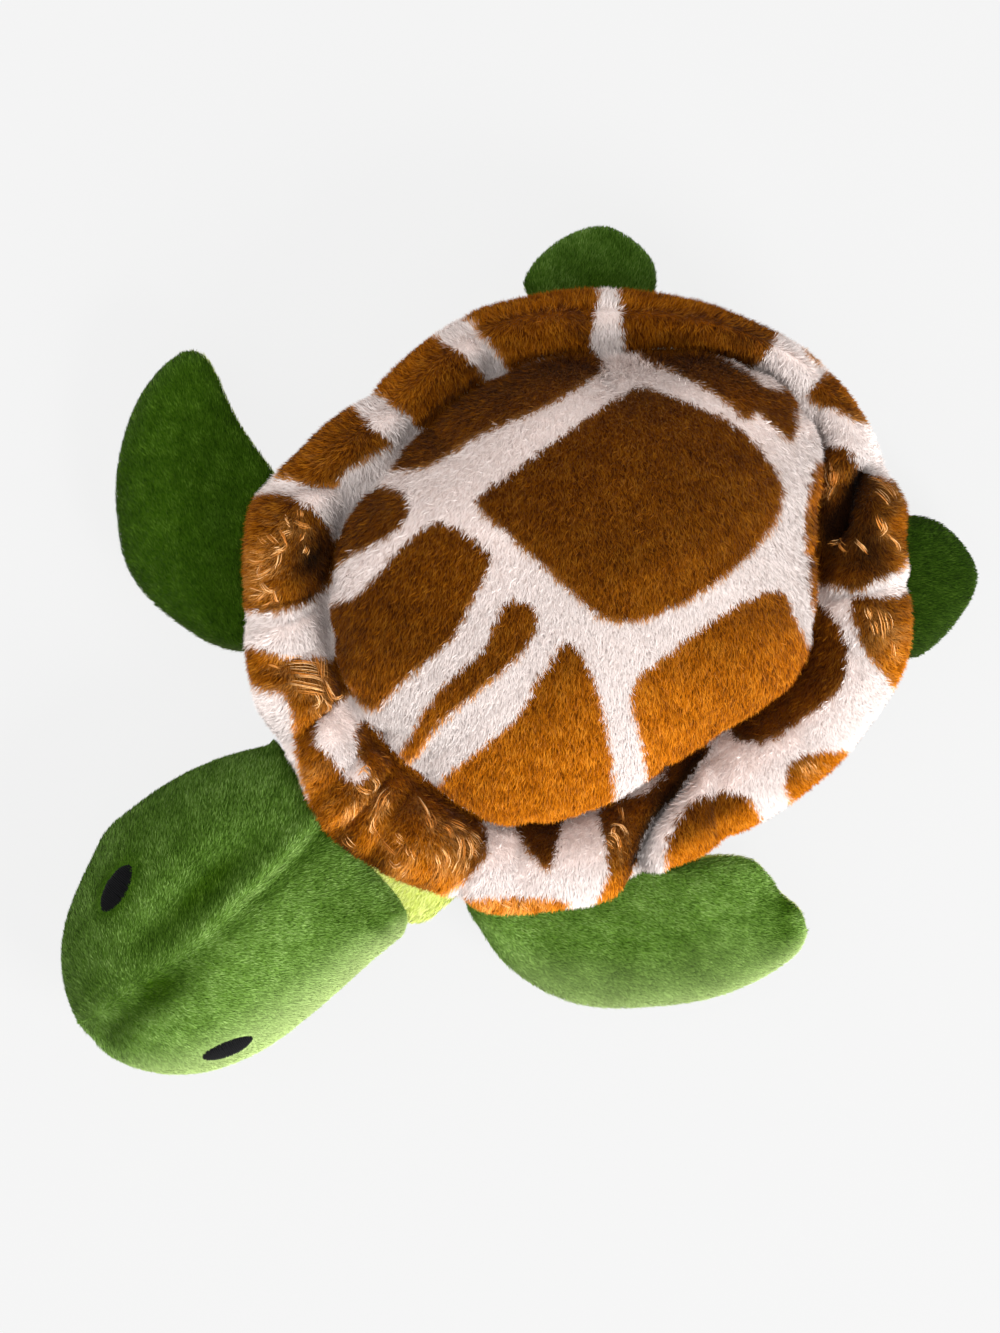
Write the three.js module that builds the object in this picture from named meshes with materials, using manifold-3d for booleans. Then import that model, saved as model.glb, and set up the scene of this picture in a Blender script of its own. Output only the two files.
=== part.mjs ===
// A plush turtle with a patterned shell: a stuffed brim round a stuffed dome, a flat belly,
// a head on a short neck, and four flippers sewn into the side seam.
// Millimetres, +Z up, the head towards -Y, the turtle's left towards +X.
// The origin is on the flat of the belly, under the middle of the shell.
import * as THREE from "three";
import { mergeVertices } from "three/addons/utils/BufferGeometryUtils.js";
import Module from "manifold-3d";

const wasm = await Module();
wasm.setup();

// Cloth, seams and clearances
const plushThickness = 2.4;
const liningThickness = 0.8;
const seamGap = 0.3;
const flexGap = 0.45;
const fillGap = 0.35;
const leafFillGap = 0.6;
const cutterOverrun = 40;

// Shell, seen from above
const shellWidth = 148;
const shellLength = 168;
const domeWidth = 111;
const domeLength = 134;
const domeShiftRight = 4;
const domeShiftBack = 7;
const cornerBulgeShare = 0.1;
const cornerBulgeAngle = 207;
const cornerBulgeSpread = 18;
const tangentReachAngle = 9;

// Shell, seen from the side
const totalHeight = 84;
const domeEquatorHeight = 46;
const domeUndercut = 12;
const domeEdgeAngle = 100;
const domeTopAngle = 5;
const creaseHalfGap = 0.8;
const rimMiddleHeight = 40;
const rimRise = 13;
const rimDrop = 15;
const rimCreaseAngle = 158;
const rimSeamAngle = -58;
const rimFillRiseShare = 0.6;
const rimFillDropShare = 0.5;
const bellyFlatShare = 0.62;

// Threads
const creaseThreadDiameter = 1;
const creaseThreadSides = 6;
const stitchThreadDiameter = 0.9;
const stitchCount = 7;
const stitchPitch = 5;
const stitchAngle = 95;
const stitchRimTurn = -46;
const stitchBellyTurn = 7;

// Neck
const neckHalfWidth = 26;
const neckHalfHeight = 13.5;
const neckMiddleHeight = 21;
const neckFrontDistance = 92;
const neckRootDistance = 66;
const neckRoundShare = 0.6;

// Head
const headLength = 80;
const headBackDistance = 82;
const headHalfWidth = 36;
const headMiddleHeight = 26;
const headRise = 30;
const headDrop = 22;
const headShift = 4;
const headYaw = 3;
const chinSeamHeight = 21;
const eyeLength = 12;
const eyeWidth = 8;
const eyeThickness = 1.2;
const eyePlugDepth = 20;
const eyeForwardShare = 0.69;
const eyeSideShare = 0.68;
const eyeRiseShare = 0.52;
const eyeToeInShare = 0.32;
const eyeFacingShares = [0.72, -0.25, 0.65];

// Flippers
const flipperRootHalfThickness = 2.6;
const flipperSwell = 0.3;
const flipperEdgeHalfThickness = 1;
const frontReach = 41;
const frontSpan = 76;
const frontHalfThickness = 8.5;
const frontRootHalfWidth = 20;
const rearReach = 22;
const rearSpan = 38;
const rearHalfThickness = 7;
const rearRootHalfWidth = 12;

// Joint pivots and limits, in degrees
const neckPivotDistance = 80;
const headPivotDistance = 86;
const headPivotHeight = 35;
const neckTurnLimit = 15;
const headNodDown = 12;
const headNodUp = 15;
const flapDown = 25;
const flapUp = 25;
const sweepStep = 5;

// How finely the round forms are drawn
const aroundCount = 36;
const domeRingCount = 7;
const rimArcCount = 9;
const bellyRingCount = 4;
const liningRingCount = 2;
const limbTopCount = 7;
const headRingCount = 16;
const neckSliceCount = 4;
const eyeSideCount = 14;
const stitchStepCount = 5;

const degree = Math.PI / 180;
const white = 0xefe8e4;
const green = 0x4f8b3a;
const lime = 0xcdea66;
const stuffing = 0xf4f4f0;
const black = 0x121216;

function mix(from, to, share) {
  return from + (to - from) * share;
}

function steps(count, from, to) {
  return Array.from({ length: count + 1 }, (_, index) => mix(from, to, index / count));
}

function plush(color) {
  return new THREE.MeshStandardMaterial({ color, roughness: 0.95, metalness: 0 });
}

// Closed bodies from rings of points

// Joins rings of equal length into one closed body; a loop joins the last ring to the first,
// and otherwise each end closes on its own middle point.
function ringBody(rings, looped = false) {
  const count = rings[0].length;
  const points = rings.flat();
  const faces = [];
  const pairs = looped ? rings.length : rings.length - 1;
  for (let ring = 0; ring < pairs; ring += 1) {
    const here = ring * count;
    const there = ((ring + 1) % rings.length) * count;
    for (let index = 0; index < count; index += 1) {
      const next = (index + 1) % count;
      faces.push(here + index, there + index, there + next);
      faces.push(here + index, there + next, here + next);
    }
  }
  if (!looped) {
    closeEnd(points, faces, rings[0], 0, true);
    closeEnd(points, faces, rings[rings.length - 1], (rings.length - 1) * count, false);
  }
  return facingOut(meshOf(points, faces));
}

function closeEnd(points, faces, ring, offset, atStart) {
  const middle = new THREE.Vector3();
  ring.forEach((point) => middle.addScaledVector(point, 1 / ring.length));
  const centre = points.push(middle) - 1;
  ring.forEach((_, index) => {
    const here = offset + index;
    const next = offset + ((index + 1) % ring.length);
    faces.push(centre, atStart ? here : next, atStart ? next : here);
  });
}

function meshOf(points, faces) {
  const geometry = new THREE.BufferGeometry();
  geometry.setAttribute("position", new THREE.Float32BufferAttribute(points.flatMap((p) => p.toArray()), 3));
  geometry.setIndex(faces);
  return geometry;
}

function facingOut(geometry) {
  const position = geometry.getAttribute("position");
  const index = geometry.index.array;
  const corner = [0, 1, 2].map(() => new THREE.Vector3());
  let volume = 0;
  for (let face = 0; face < index.length; face += 3) {
    corner.forEach((point, place) => point.fromBufferAttribute(position, index[face + place]));
    volume += corner[0].dot(corner[1].clone().cross(corner[2]));
  }
  if (volume < 0) {
    for (let face = 0; face < index.length; face += 3) {
      [index[face + 1], index[face + 2]] = [index[face + 2], index[face + 1]];
    }
  }
  return geometry;
}

// Boolean cuts

function solidOf(geometry) {
  const bare = geometry.clone();
  bare.deleteAttribute("normal");
  bare.deleteAttribute("uv");
  const merged = mergeVertices(bare);
  const vertProperties = new Float32Array(merged.getAttribute("position").array);
  const triVerts = new Uint32Array(merged.index.array);
  return new wasm.Manifold(new wasm.Mesh({ numProp: 3, vertProperties, triVerts }));
}

function geometryOf(solid) {
  const mesh = solid.getMesh();
  const geometry = new THREE.BufferGeometry();
  geometry.setAttribute("position", new THREE.BufferAttribute(new Float32Array(mesh.vertProperties), 3));
  geometry.setIndex(new THREE.BufferAttribute(new Uint32Array(mesh.triVerts), 1));
  return geometry;
}

function slab(low, high) {
  const size = high.clone().sub(low);
  const box = new THREE.BoxGeometry(size.x, size.y, size.z);
  const middle = low.clone().add(high).multiplyScalar(0.5);
  return solidOf(box.translate(middle.x, middle.y, middle.z));
}

// The solid as seen from inside a turned frame
function seenFrom(geometry, frame) {
  return geometry.clone().applyMatrix4(frame.clone().invert());
}

// Shell: every piece is drawn in upright slices that turn about the shell.
// In a slice, across is the distance out from the crease and up is the height.

function rimOuterPoint(angle) {
  const fromCorner = ((angle / degree - cornerBulgeAngle + 540) % 360) - 180;
  const bulge = 1 + cornerBulgeShare * Math.exp(-((fromCorner / cornerBulgeSpread) ** 2));
  const across = (shellWidth / 2) * bulge * Math.cos(angle);
  return new THREE.Vector2(across, (shellLength / 2) * bulge * Math.sin(angle));
}

function creasePoint(angle) {
  const across = (domeWidth / 2) * Math.cos(angle) - domeShiftRight;
  return new THREE.Vector2(across, (domeLength / 2) * Math.sin(angle) + domeShiftBack);
}

function rimWidth(angle) {
  return rimOuterPoint(angle).distanceTo(creasePoint(angle));
}

function slicePoint(angle, across, up) {
  const crease = creasePoint(angle);
  const outward = rimOuterPoint(angle).sub(crease).normalize();
  crease.addScaledVector(outward, across);
  return new THREE.Vector3(crease.x, crease.y, up);
}

function shellRing(place) {
  return Array.from({ length: aroundCount }, (_, index) => {
    const angle = (index / aroundCount) * 2 * Math.PI;
    return place(angle);
  });
}

// The brim's round section, drawn in by inset
function rimArcPoint(angle, turn, inset) {
  const half = rimWidth(angle) / 2;
  const across = half + (half - inset) * Math.cos(turn * degree);
  const height = (turn > 0 ? rimRise : rimDrop) - inset;
  return [across, rimMiddleHeight + height * Math.sin(turn * degree)];
}

function rimArcRing(turn, inset) {
  return shellRing((angle) => slicePoint(angle, ...rimArcPoint(angle, turn, inset)));
}

// The lining runs straight from under the crease to inside the side seam
function liningAcross(angle, share) {
  const seam = rimArcPoint(angle, rimSeamAngle, plushThickness)[0];
  return mix(0, seam - seamGap - liningThickness, share);
}

function liningHeight(share) {
  const seam = rimArcPoint(0, rimSeamAngle, plushThickness)[1];
  return mix(creaseSeatHeight() - creaseThreadDiameter - seamGap, seam, share);
}

function liningShareAt(height) {
  return THREE.MathUtils.clamp((liningHeight(0) - height) / (liningHeight(0) - liningHeight(1)), 0, 1);
}

function creaseSeatHeight() {
  return rimArcPoint(0, rimCreaseAngle, 0)[1];
}

// The dome as a ring at a slope angle from its top, drawn in by inset
function domeRing(slope, inset) {
  const edge = Math.sin(domeEdgeAngle * degree);
  const rise = (slope < 90 ? totalHeight - domeEquatorHeight : domeUndercut) - inset;
  const up = domeEquatorHeight + rise * Math.cos(slope * degree);
  return shellRing((angle) => {
    const crease = creasePoint(angle);
    const middle = new THREE.Vector2(-domeShiftRight, domeShiftBack);
    const radial = crease.clone().sub(middle);
    const reach = (radial.length() - creaseHalfGap) / edge - inset;
    const point = middle.addScaledVector(radial.normalize(), reach * Math.sin(slope * degree));
    return new THREE.Vector3(point.x, point.y, up);
  });
}

// The belly from the side seam (turn 0) to the edge of its flat (turn 90)
function bellyPoint(angle, turn, inset) {
  const top = seamHeight() - seamGap;
  const up = top - (top - inset) * Math.sin(turn * degree);
  const seam = slicePoint(angle, rimArcPoint(angle, rimSeamAngle, 0)[0], up);
  const reach = Math.hypot(seam.x, seam.y);
  const flat = bellyFlatShare * reach;
  const radius = flat + (reach - flat - inset) * Math.cos(turn * degree);
  return seam.setX((seam.x * radius) / reach).setY((seam.y * radius) / reach);
}

function bellyRing(turn, inset) {
  return shellRing((angle) => bellyPoint(angle, turn, inset));
}

function seamHeight() {
  return rimArcPoint(0, rimSeamAngle, 0)[1];
}

const domeSlopes = steps(domeRingCount, domeTopAngle, domeEdgeAngle);
const rimTurns = steps(rimArcCount, rimCreaseAngle, rimSeamAngle);
const bellyTurns = steps(bellyRingCount, 0, 90);

function domeCover() {
  const outer = domeSlopes.map((slope) => domeRing(slope, 0));
  const inner = domeSlopes.map((slope) => domeRing(slope, plushThickness));
  return ringBody([...outer, ...inner.reverse()]);
}

function rimCover() {
  const outer = rimTurns.map((turn) => rimArcRing(turn, 0));
  const inner = rimTurns.map((turn) => rimArcRing(turn, plushThickness));
  return ringBody([...outer, ...inner.reverse()], true);
}

function rimLining() {
  const shares = steps(liningRingCount, 0, 1);
  const half = liningThickness / 2;
  const side = (shift) =>
    shares.map((share) =>
      shellRing((angle) => slicePoint(angle, liningAcross(angle, share) + shift, liningHeight(share)))
    );
  return ringBody([...side(half), ...side(-half).reverse()], true);
}

// The brim's stuffing follows the cover's inside, and stops at the lining
function rimFill() {
  const inset = plushThickness + fillGap;
  const place = (angle, across, up) => {
    const wall = liningAcross(angle, liningShareAt(up)) + liningThickness + fillGap;
    return slicePoint(angle, Math.max(across, wall), up);
  };
  const alongCover = rimTurns.slice(2, -1).map((turn) =>
    shellRing((angle) => place(angle, ...rimArcPoint(angle, turn, inset)))
  );
  const lowest = rimMiddleHeight - rimDrop * rimFillDropShare;
  const highest = rimMiddleHeight + rimRise * rimFillRiseShare;
  const alongLining = steps(2, lowest, highest).map((up) =>
    shellRing((angle) => place(angle, rimInsideLeft(angle, up, inset), up))
  );
  return ringBody([...alongCover, ...alongLining], true);
}

// Where the drawn-in section of the brim is nearest the crease, at a height
function rimInsideLeft(angle, up, inset) {
  const half = rimWidth(angle) / 2;
  const height = (up > rimMiddleHeight ? rimRise : rimDrop) - inset;
  return half - (half - inset) * Math.sqrt(1 - ((up - rimMiddleHeight) / height) ** 2);
}

function bellyCover() {
  const outer = bellyTurns.map((turn) => bellyRing(turn, 0));
  const inner = bellyTurns.map((turn) => bellyRing(turn, plushThickness));
  return ringBody([...outer.reverse(), ...inner]);
}

// The stuffing of dome and belly in one mass, drawn in where the lining crosses it
function bodyFill() {
  const inset = plushThickness + fillGap;
  const inDome = domeSlopes.slice(0, -1).map((slope) => domeRing(slope, inset));
  const backOff = liningThickness + fillGap;
  const atLining = steps(1, 0, 1).map((share) =>
    shellRing((angle) => {
      const across = liningAcross(angle, share) - backOff - (share === 0 ? creaseHalfGap + inset : 0);
      return slicePoint(angle, across, liningHeight(share));
    })
  );
  const inBelly = bellyTurns.slice(1).map((turn) => bellyRing(turn, inset));
  return ringBody([...inDome, ...atLining, ...inBelly]);
}

function creaseThread() {
  const radius = creaseThreadDiameter / 2;
  const up = creaseSeatHeight() - radius;
  const rings = Array.from({ length: creaseThreadSides }, (_, index) => {
    const turn = (index / creaseThreadSides) * 2 * Math.PI;
    return shellRing((angle) => slicePoint(angle, radius * Math.cos(turn), up + radius * Math.sin(turn)));
  });
  return ringBody(rings, true);
}

// The hand stitches that closed the side seam at the rear, as one zigzag of thread
// that lies on the brim above the seam and on the belly below it
function closingStitch() {
  const turnStep = stitchPitch / shellLength;
  const lift = -seamGap - stitchThreadDiameter / 2;
  const points = Array.from({ length: 2 * stitchCount + 1 }, (_, index) => {
    const angle = stitchAngle * degree + (index - stitchCount) * turnStep;
    const onBelly = index % 2 === 1;
    if (onBelly) return bellyPoint(angle, stitchBellyTurn, lift);
    return slicePoint(angle, ...rimArcPoint(angle, stitchRimTurn, lift));
  });
  const path = new THREE.CatmullRomCurve3(points);
  const section = new THREE.Shape();
  section.absarc(0, 0, stitchThreadDiameter / 2, 0, 2 * Math.PI);
  const options = { steps: stitchStepCount * stitchCount, curveSegments: 3, extrudePath: path };
  return new THREE.ExtrudeGeometry(section, options);
}

// The whole body grown by a clearance, which everything that moves is cut by
function bodyEnvelope(clearance) {
  const belly = bellyTurns.map((turn) => bellyRing(turn, -clearance));
  const rim = rimTurns.slice(2).map((turn) => rimArcRing(turn, -clearance));
  return ringBody([...rim, ...belly]);
}

// Limbs: a padded leaf, lofted in slices and pinched thin along its root.
// In a limb's own frame x runs out from the body, y along the root towards the head side
// and z up through the middle of the leaf; a mirrored limb has its y turned round.

const frontLeaf = {
  reach: frontReach,
  span: frontSpan,
  halfThickness: frontHalfThickness,
  rootHalfWidth: frontRootHalfWidth,
  // Place along the span, inner and outer edge over the reach, thickness
  sliceShares: [
    [0.29, 0.12, 0.3, 0.4],
    [0.225, 0.01, 0.56, 0.7],
    [0.1, 0.01, 0.79, 0.92],
    [-0.05, 0.01, 0.92, 1],
    [-0.2, 0.01, 0.99, 1],
    [-0.36, 0.03, 1, 0.95],
    [-0.5, 0.17, 0.93, 0.85],
    [-0.62, 0.34, 0.79, 0.66],
    [-0.7, 0.48, 0.62, 0.4],
  ],
};

const rearLeaf = {
  reach: rearReach,
  span: rearSpan,
  halfThickness: rearHalfThickness,
  rootHalfWidth: rearRootHalfWidth,
  sliceShares: [
    [0.66, 0.12, 0.38, 0.4],
    [0.5, 0.02, 0.66, 0.75],
    [0.28, 0.02, 0.9, 0.95],
    [0.05, 0.02, 1, 1],
    [-0.16, 0.02, 0.86, 0.9],
    [-0.34, 0.1, 0.5, 0.5],
  ],
};

function leafSolid(leaf, limb, inset) {
  const slices = leaf.sliceShares;
  const ends = [slices[0][0] * leaf.span, slices[slices.length - 1][0] * leaf.span];
  const middle = (ends[0] + ends[1]) / 2;
  const shrink = 1 - (2 * inset) / (ends[0] - ends[1]);
  const turn = limb.sweep * degree;
  const rings = slices.map(([along, inner, outer, thick]) => {
    const y = middle + (along * leaf.span - middle) * shrink;
    const nearest = inner * leaf.reach;
    const farthest = outer * leaf.reach * limb.reachShare;
    const centre = (nearest + farthest) / 2;
    const halfWidth = Math.max((farthest - nearest) / 2 - inset, seamGap);
    const half = thick * leaf.halfThickness;
    const side = (up, shares) =>
      shares.map((share) => {
        const x = mix(centre - halfWidth, centre + halfWidth, share);
        const at = new THREE.Vector2(x, y).rotateAround(new THREE.Vector2(), turn);
        at.y *= limb.mirror;
        const round = half * Math.sqrt(Math.max(0, 1 - (2 * share - 1) ** 4));
        const overRoot = Math.max(0, Math.abs(at.y) - leaf.rootHalfWidth);
        const pinch = flipperRootHalfThickness + flipperSwell * Math.hypot(Math.max(0, at.x), overRoot);
        const edge = inset > 0 ? seamGap : flipperEdgeHalfThickness;
        const atRoot = share === 0 && overRoot === 0 ? flipperRootHalfThickness - inset : edge;
        const thickness = Math.max(Math.min(round, pinch) - inset, atRoot, edge);
        return new THREE.Vector3(at.x / Math.cos(limb.droop * degree), at.y, up * thickness);
      });
    const shares = steps(limbTopCount - 1, 0, 1);
    return [...side(1, shares), ...side(-1, shares.slice().reverse())];
  });
  return ringBody(rings);
}

function limbFrame(limb) {
  const angle = limb.at * degree;
  const near = tangentReachAngle * degree;
  const before = slicePoint(angle - near, rimArcPoint(angle - near, rimSeamAngle, 0)[0], 0);
  const after = slicePoint(angle + near, rimArcPoint(angle + near, rimSeamAngle, 0)[0], 0);
  const along = after.sub(before);
  const seam = slicePoint(angle, rimArcPoint(angle, rimSeamAngle, 0)[0], seamHeight() - seamGap / 2);
  const root = new THREE.Group();
  root.position.copy(seam);
  root.rotation.set(0, limb.droop * degree, Math.atan2(-along.x, along.y), "ZYX");
  root.updateMatrix();
  return root;
}

// The body grown by the running gap, turned through every place that it takes as seen from the limb
function sweptBody(frame, turns) {
  const envelope = bodyEnvelope(flexGap);
  return turns.map((turn) => solidOf(seenFrom(seenFrom(envelope, frame.matrix), turn)));
}

function turnsAbout(axis, from, to) {
  const count = Math.ceil((to - from) / sweepStep);
  return steps(count, from, to).map((angle) => new THREE.Matrix4().makeRotationAxis(axis, angle * degree));
}

function cutBy(solid, cutters) {
  return largestPart(cutters.reduce((left, cutter) => left.subtract(cutter), solid));
}

// A cut can leave crumbs of cloth, which are dropped
function largestPart(solid) {
  return solid.decompose().reduce((best, part) => (part.volume() > best.volume() ? part : best));
}

function flipper(name, leaf, limb) {
  const frame = limbFrame(limb);
  const cutters = sweptBody(frame, turnsAbout(new THREE.Vector3(0, 1, 0), -flapUp, flapDown));
  const outer = solidOf(leafSolid(leaf, limb, 0));
  const cover = outer.subtract(solidOf(leafSolid(leaf, limb, plushThickness)));
  const far = leaf.span + cutterOverrun;
  const above = slab(new THREE.Vector3(-far, -far, seamGap / 2), new THREE.Vector3(far, far, far));
  const below = slab(new THREE.Vector3(-far, -far, -far), new THREE.Vector3(far, far, -seamGap / 2));
  const pieces = [
    ["top", cover.intersect(above), limb.color],
    ["under", cover.intersect(below), lime],
    ["fill", solidOf(leafSolid(leaf, limb, plushThickness + leafFillGap)), stuffing],
  ];
  pieces.forEach(([part, solid, color]) => {
    frame.add(named(`${name}_${part}`, geometryOf(cutBy(solid, cutters)), color));
  });
  return frame;
}

// Neck: a short stuffed collar between body and head, drawn in the neck's frame, whose
// origin is the upright pivot and whose -y runs forward.

function neckSolid(inset) {
  const shares = steps(neckSliceCount, 0, 1);
  const rings = shares.map((share) => {
    const y = mix(neckPivotDistance - neckRootDistance + inset, neckPivotDistance - neckFrontDistance + inset, share);
    const round = share > neckRoundShare ? (share - neckRoundShare) / (1 - neckRoundShare) : 0;
    const size = Math.sqrt(1 - 0.75 * round ** 2);
    return Array.from({ length: headRingCount }, (_, index) => {
      const turn = (index / headRingCount) * 2 * Math.PI;
      const x = (neckHalfWidth * size - inset) * Math.cos(turn);
      return new THREE.Vector3(x, y, neckMiddleHeight + (neckHalfHeight * size - inset) * Math.sin(turn));
    });
  });
  return ringBody(rings);
}

// Head: lofted from back to nose, in the head's frame, whose origin is the cross pivot

// Distance from back to nose, half width, rise and drop, each over its own size
const headSliceShares = [
  [0, 0.74, 0.36, 0.6],
  [0.05, 0.84, 0.56, 0.8],
  [0.16, 0.95, 0.82, 0.94],
  [0.32, 1, 0.98, 1],
  [0.5, 0.98, 1, 1],
  [0.66, 0.89, 0.91, 0.92],
  [0.8, 0.74, 0.76, 0.78],
  [0.92, 0.5, 0.52, 0.56],
  [0.985, 0.25, 0.26, 0.3],
];

function headSolid(inset) {
  const length = headLength - 2 * inset;
  const rings = headSliceShares.map(([forward, wide, rise, drop]) => {
    const y = headPivotDistance - headBackDistance - inset - forward * length;
    return Array.from({ length: headRingCount }, (_, index) => {
      const turn = ((index + 0.5) / headRingCount) * 2 * Math.PI;
      const height = Math.sin(turn) > 0 ? rise * headRise : drop * headDrop;
      const x = (wide * headHalfWidth - inset) * Math.cos(turn);
      const z = headMiddleHeight - headPivotHeight + (height - inset) * Math.sin(turn);
      return new THREE.Vector3(x, y, z);
    });
  });
  return ringBody(rings);
}

// The embroidered eye: an oval cut from a thin skin that lies on the head
function eyePatch(side) {
  const facing = new THREE.Vector3(...eyeFacingShares).normalize();
  facing.x *= side;
  const ahead = new THREE.Vector3(-side * eyeToeInShare, -1, 0);
  const across = facing.clone().cross(ahead).normalize();
  const along = across.clone().cross(facing);
  const place = new THREE.Matrix4().makeBasis(across, facing, along);
  const x = side * eyeSideShare * headHalfWidth;
  const y = headPivotDistance - headBackDistance - eyeForwardShare * headLength;
  place.setPosition(x, y, headMiddleHeight - headPivotHeight + eyeRiseShare * headRise);
  const plug = new THREE.CylinderGeometry(eyeWidth / 2, eyeWidth / 2, eyePlugDepth, eyeSideCount);
  plug.scale(1, 1, eyeLength / eyeWidth).applyMatrix4(place);
  const skin = solidOf(headSolid(-seamGap - eyeThickness)).subtract(solidOf(headSolid(-seamGap)));
  return geometryOf(largestPart(skin.intersect(solidOf(plug))));
}

function named(name, geometry, color) {
  const mesh = new THREE.Mesh(geometry, plush(color));
  mesh.name = name;
  return mesh;
}

function bodyGroup() {
  const group = new THREE.Group();
  group.add(named("shell_dome_cover", domeCover(), white));
  group.add(named("shell_rim_cover", rimCover(), white));
  group.add(named("rim_lining", rimLining(), white));
  group.add(named("rim_fill", rimFill(), stuffing));
  group.add(named("body_fill", bodyFill(), stuffing));
  group.add(named("belly_cover", bellyCover(), lime));
  group.add(named("crease_thread", creaseThread(), white));
  group.add(named("closing_stitch", closingStitch(), lime));
  return group;
}

function neckAndHead() {
  const neck = new THREE.Group();
  neck.position.set(headShift, -neckPivotDistance, 0);
  neck.rotation.z = headYaw * degree;
  neck.updateMatrix();
  const yaws = turnsAbout(new THREE.Vector3(0, 0, 1), -neckTurnLimit, neckTurnLimit);
  const body = sweptBody(neck, yaws);
  const collar = solidOf(neckSolid(0)).subtract(solidOf(neckSolid(plushThickness)));
  neck.add(named("neck_cover", geometryOf(cutBy(collar, body)), lime));
  neck.add(named("neck_fill", geometryOf(cutBy(solidOf(neckSolid(plushThickness + fillGap)), body)), stuffing));
  neck.add(headGroup(neck, yaws));
  return neck;
}

// The head clears the collar at every nod, and the body at every nod and turn
function headGroup(neck, yaws) {
  const head = new THREE.Group();
  head.position.set(0, neckPivotDistance - headPivotDistance, headPivotHeight);
  head.updateMatrix();
  const nods = turnsAbout(new THREE.Vector3(1, 0, 0), -headNodUp, headNodDown);
  const collar = seenFrom(neckSolid(-flexGap), head.matrix);
  const envelope = seenFrom(bodyEnvelope(flexGap), neck.matrix);
  const cutters = nods.map((nod) => solidOf(seenFrom(collar, nod)));
  yaws.forEach((yaw) => {
    const body = seenFrom(seenFrom(envelope, yaw), head.matrix);
    nods.forEach((nod) => cutters.push(solidOf(seenFrom(body, nod))));
  });
  const cut = cutters.reduce((all, cutter) => all.add(cutter));
  const cover = solidOf(headSolid(0)).subtract(solidOf(headSolid(plushThickness)));
  const far = headLength + cutterOverrun;
  const chin = chinSeamHeight - headPivotHeight;
  const halfGap = seamGap / 2;
  const upperRight = slab(new THREE.Vector3(-far, -far, chin + halfGap), new THREE.Vector3(-halfGap, far, far));
  const upperLeft = slab(new THREE.Vector3(halfGap, -far, chin + halfGap), new THREE.Vector3(far, far, far));
  const lower = slab(new THREE.Vector3(-far, -far, -far), new THREE.Vector3(far, far, chin - halfGap));
  const pieces = [
    ["head_cover_right", cover.intersect(upperRight), green],
    ["head_cover_left", cover.intersect(upperLeft), green],
    ["head_chin_cover", cover.intersect(lower), lime],
    ["head_fill", solidOf(headSolid(plushThickness + fillGap)), stuffing],
  ];
  pieces.forEach(([name, solid, color]) => head.add(named(name, geometryOf(cutBy(solid, [cut])), color)));
  head.add(named("eye_right", eyePatch(-1), black));
  head.add(named("eye_left", eyePatch(1), black));
  return head;
}

const turtle = new THREE.Group();
turtle.add(bodyGroup());
turtle.add(neckAndHead());

const limbs = [
  ["front_right_flipper", frontLeaf, { at: 222, mirror: 1, sweep: 0, droop: 24, reachShare: 1, color: green }],
  ["front_left_flipper", frontLeaf, { at: 320, mirror: -1, sweep: -16, droop: 24, reachShare: 1, color: green }],
  ["rear_right_flipper", rearLeaf, { at: 138, mirror: 1, sweep: 0, droop: 30, reachShare: 0.9, color: green }],
  ["rear_left_flipper", rearLeaf, { at: 52, mirror: -1, sweep: 0, droop: 30, reachShare: 1, color: green }],
];
limbs.forEach(([name, leaf, limb]) => turtle.add(flipper(name, leaf, limb)));

export default turtle;
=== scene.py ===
# Looks of a plush turtle: a patterned shell with a stuffed brim, a lime belly and neck,
# a green head with embroidered eyes, and four green flippers.
# Shapes are worked out in millimetres and turned to metres when a mesh is made.
import math

import bmesh
import bpy
import numpy as np
from mathutils import Matrix, Vector
from mathutils.bvhtree import BVHTree


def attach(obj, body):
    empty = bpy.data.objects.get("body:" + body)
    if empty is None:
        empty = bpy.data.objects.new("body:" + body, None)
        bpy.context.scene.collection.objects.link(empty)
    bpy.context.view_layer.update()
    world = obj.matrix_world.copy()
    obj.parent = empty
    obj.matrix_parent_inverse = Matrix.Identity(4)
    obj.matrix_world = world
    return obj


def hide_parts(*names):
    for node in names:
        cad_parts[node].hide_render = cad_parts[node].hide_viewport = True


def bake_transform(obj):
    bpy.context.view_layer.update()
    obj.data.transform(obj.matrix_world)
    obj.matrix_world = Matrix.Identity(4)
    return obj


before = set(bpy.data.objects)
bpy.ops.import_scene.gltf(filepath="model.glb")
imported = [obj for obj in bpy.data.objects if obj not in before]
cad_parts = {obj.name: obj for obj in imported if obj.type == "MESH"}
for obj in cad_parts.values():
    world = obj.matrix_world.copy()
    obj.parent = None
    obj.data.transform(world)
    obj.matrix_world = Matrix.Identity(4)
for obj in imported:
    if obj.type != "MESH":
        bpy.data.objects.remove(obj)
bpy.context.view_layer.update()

MM = 0.001
DEGREE = math.pi / 180
TURN = 2 * math.pi

# The photograph's view
IMAGE_WIDTH, IMAGE_HEIGHT = 1000, 1333
PIXELS_PER_MM = 4.0
VIEW_TARGET = np.array([0.65, -25.4, 40.0])
VIEW_LEAN = 9.1 * DEGREE
VIEW_DISTANCE = 1400.0
SENSOR = 36.0
VIEW_RIGHT = np.array([0.634, 0.773, 0.0])

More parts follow.
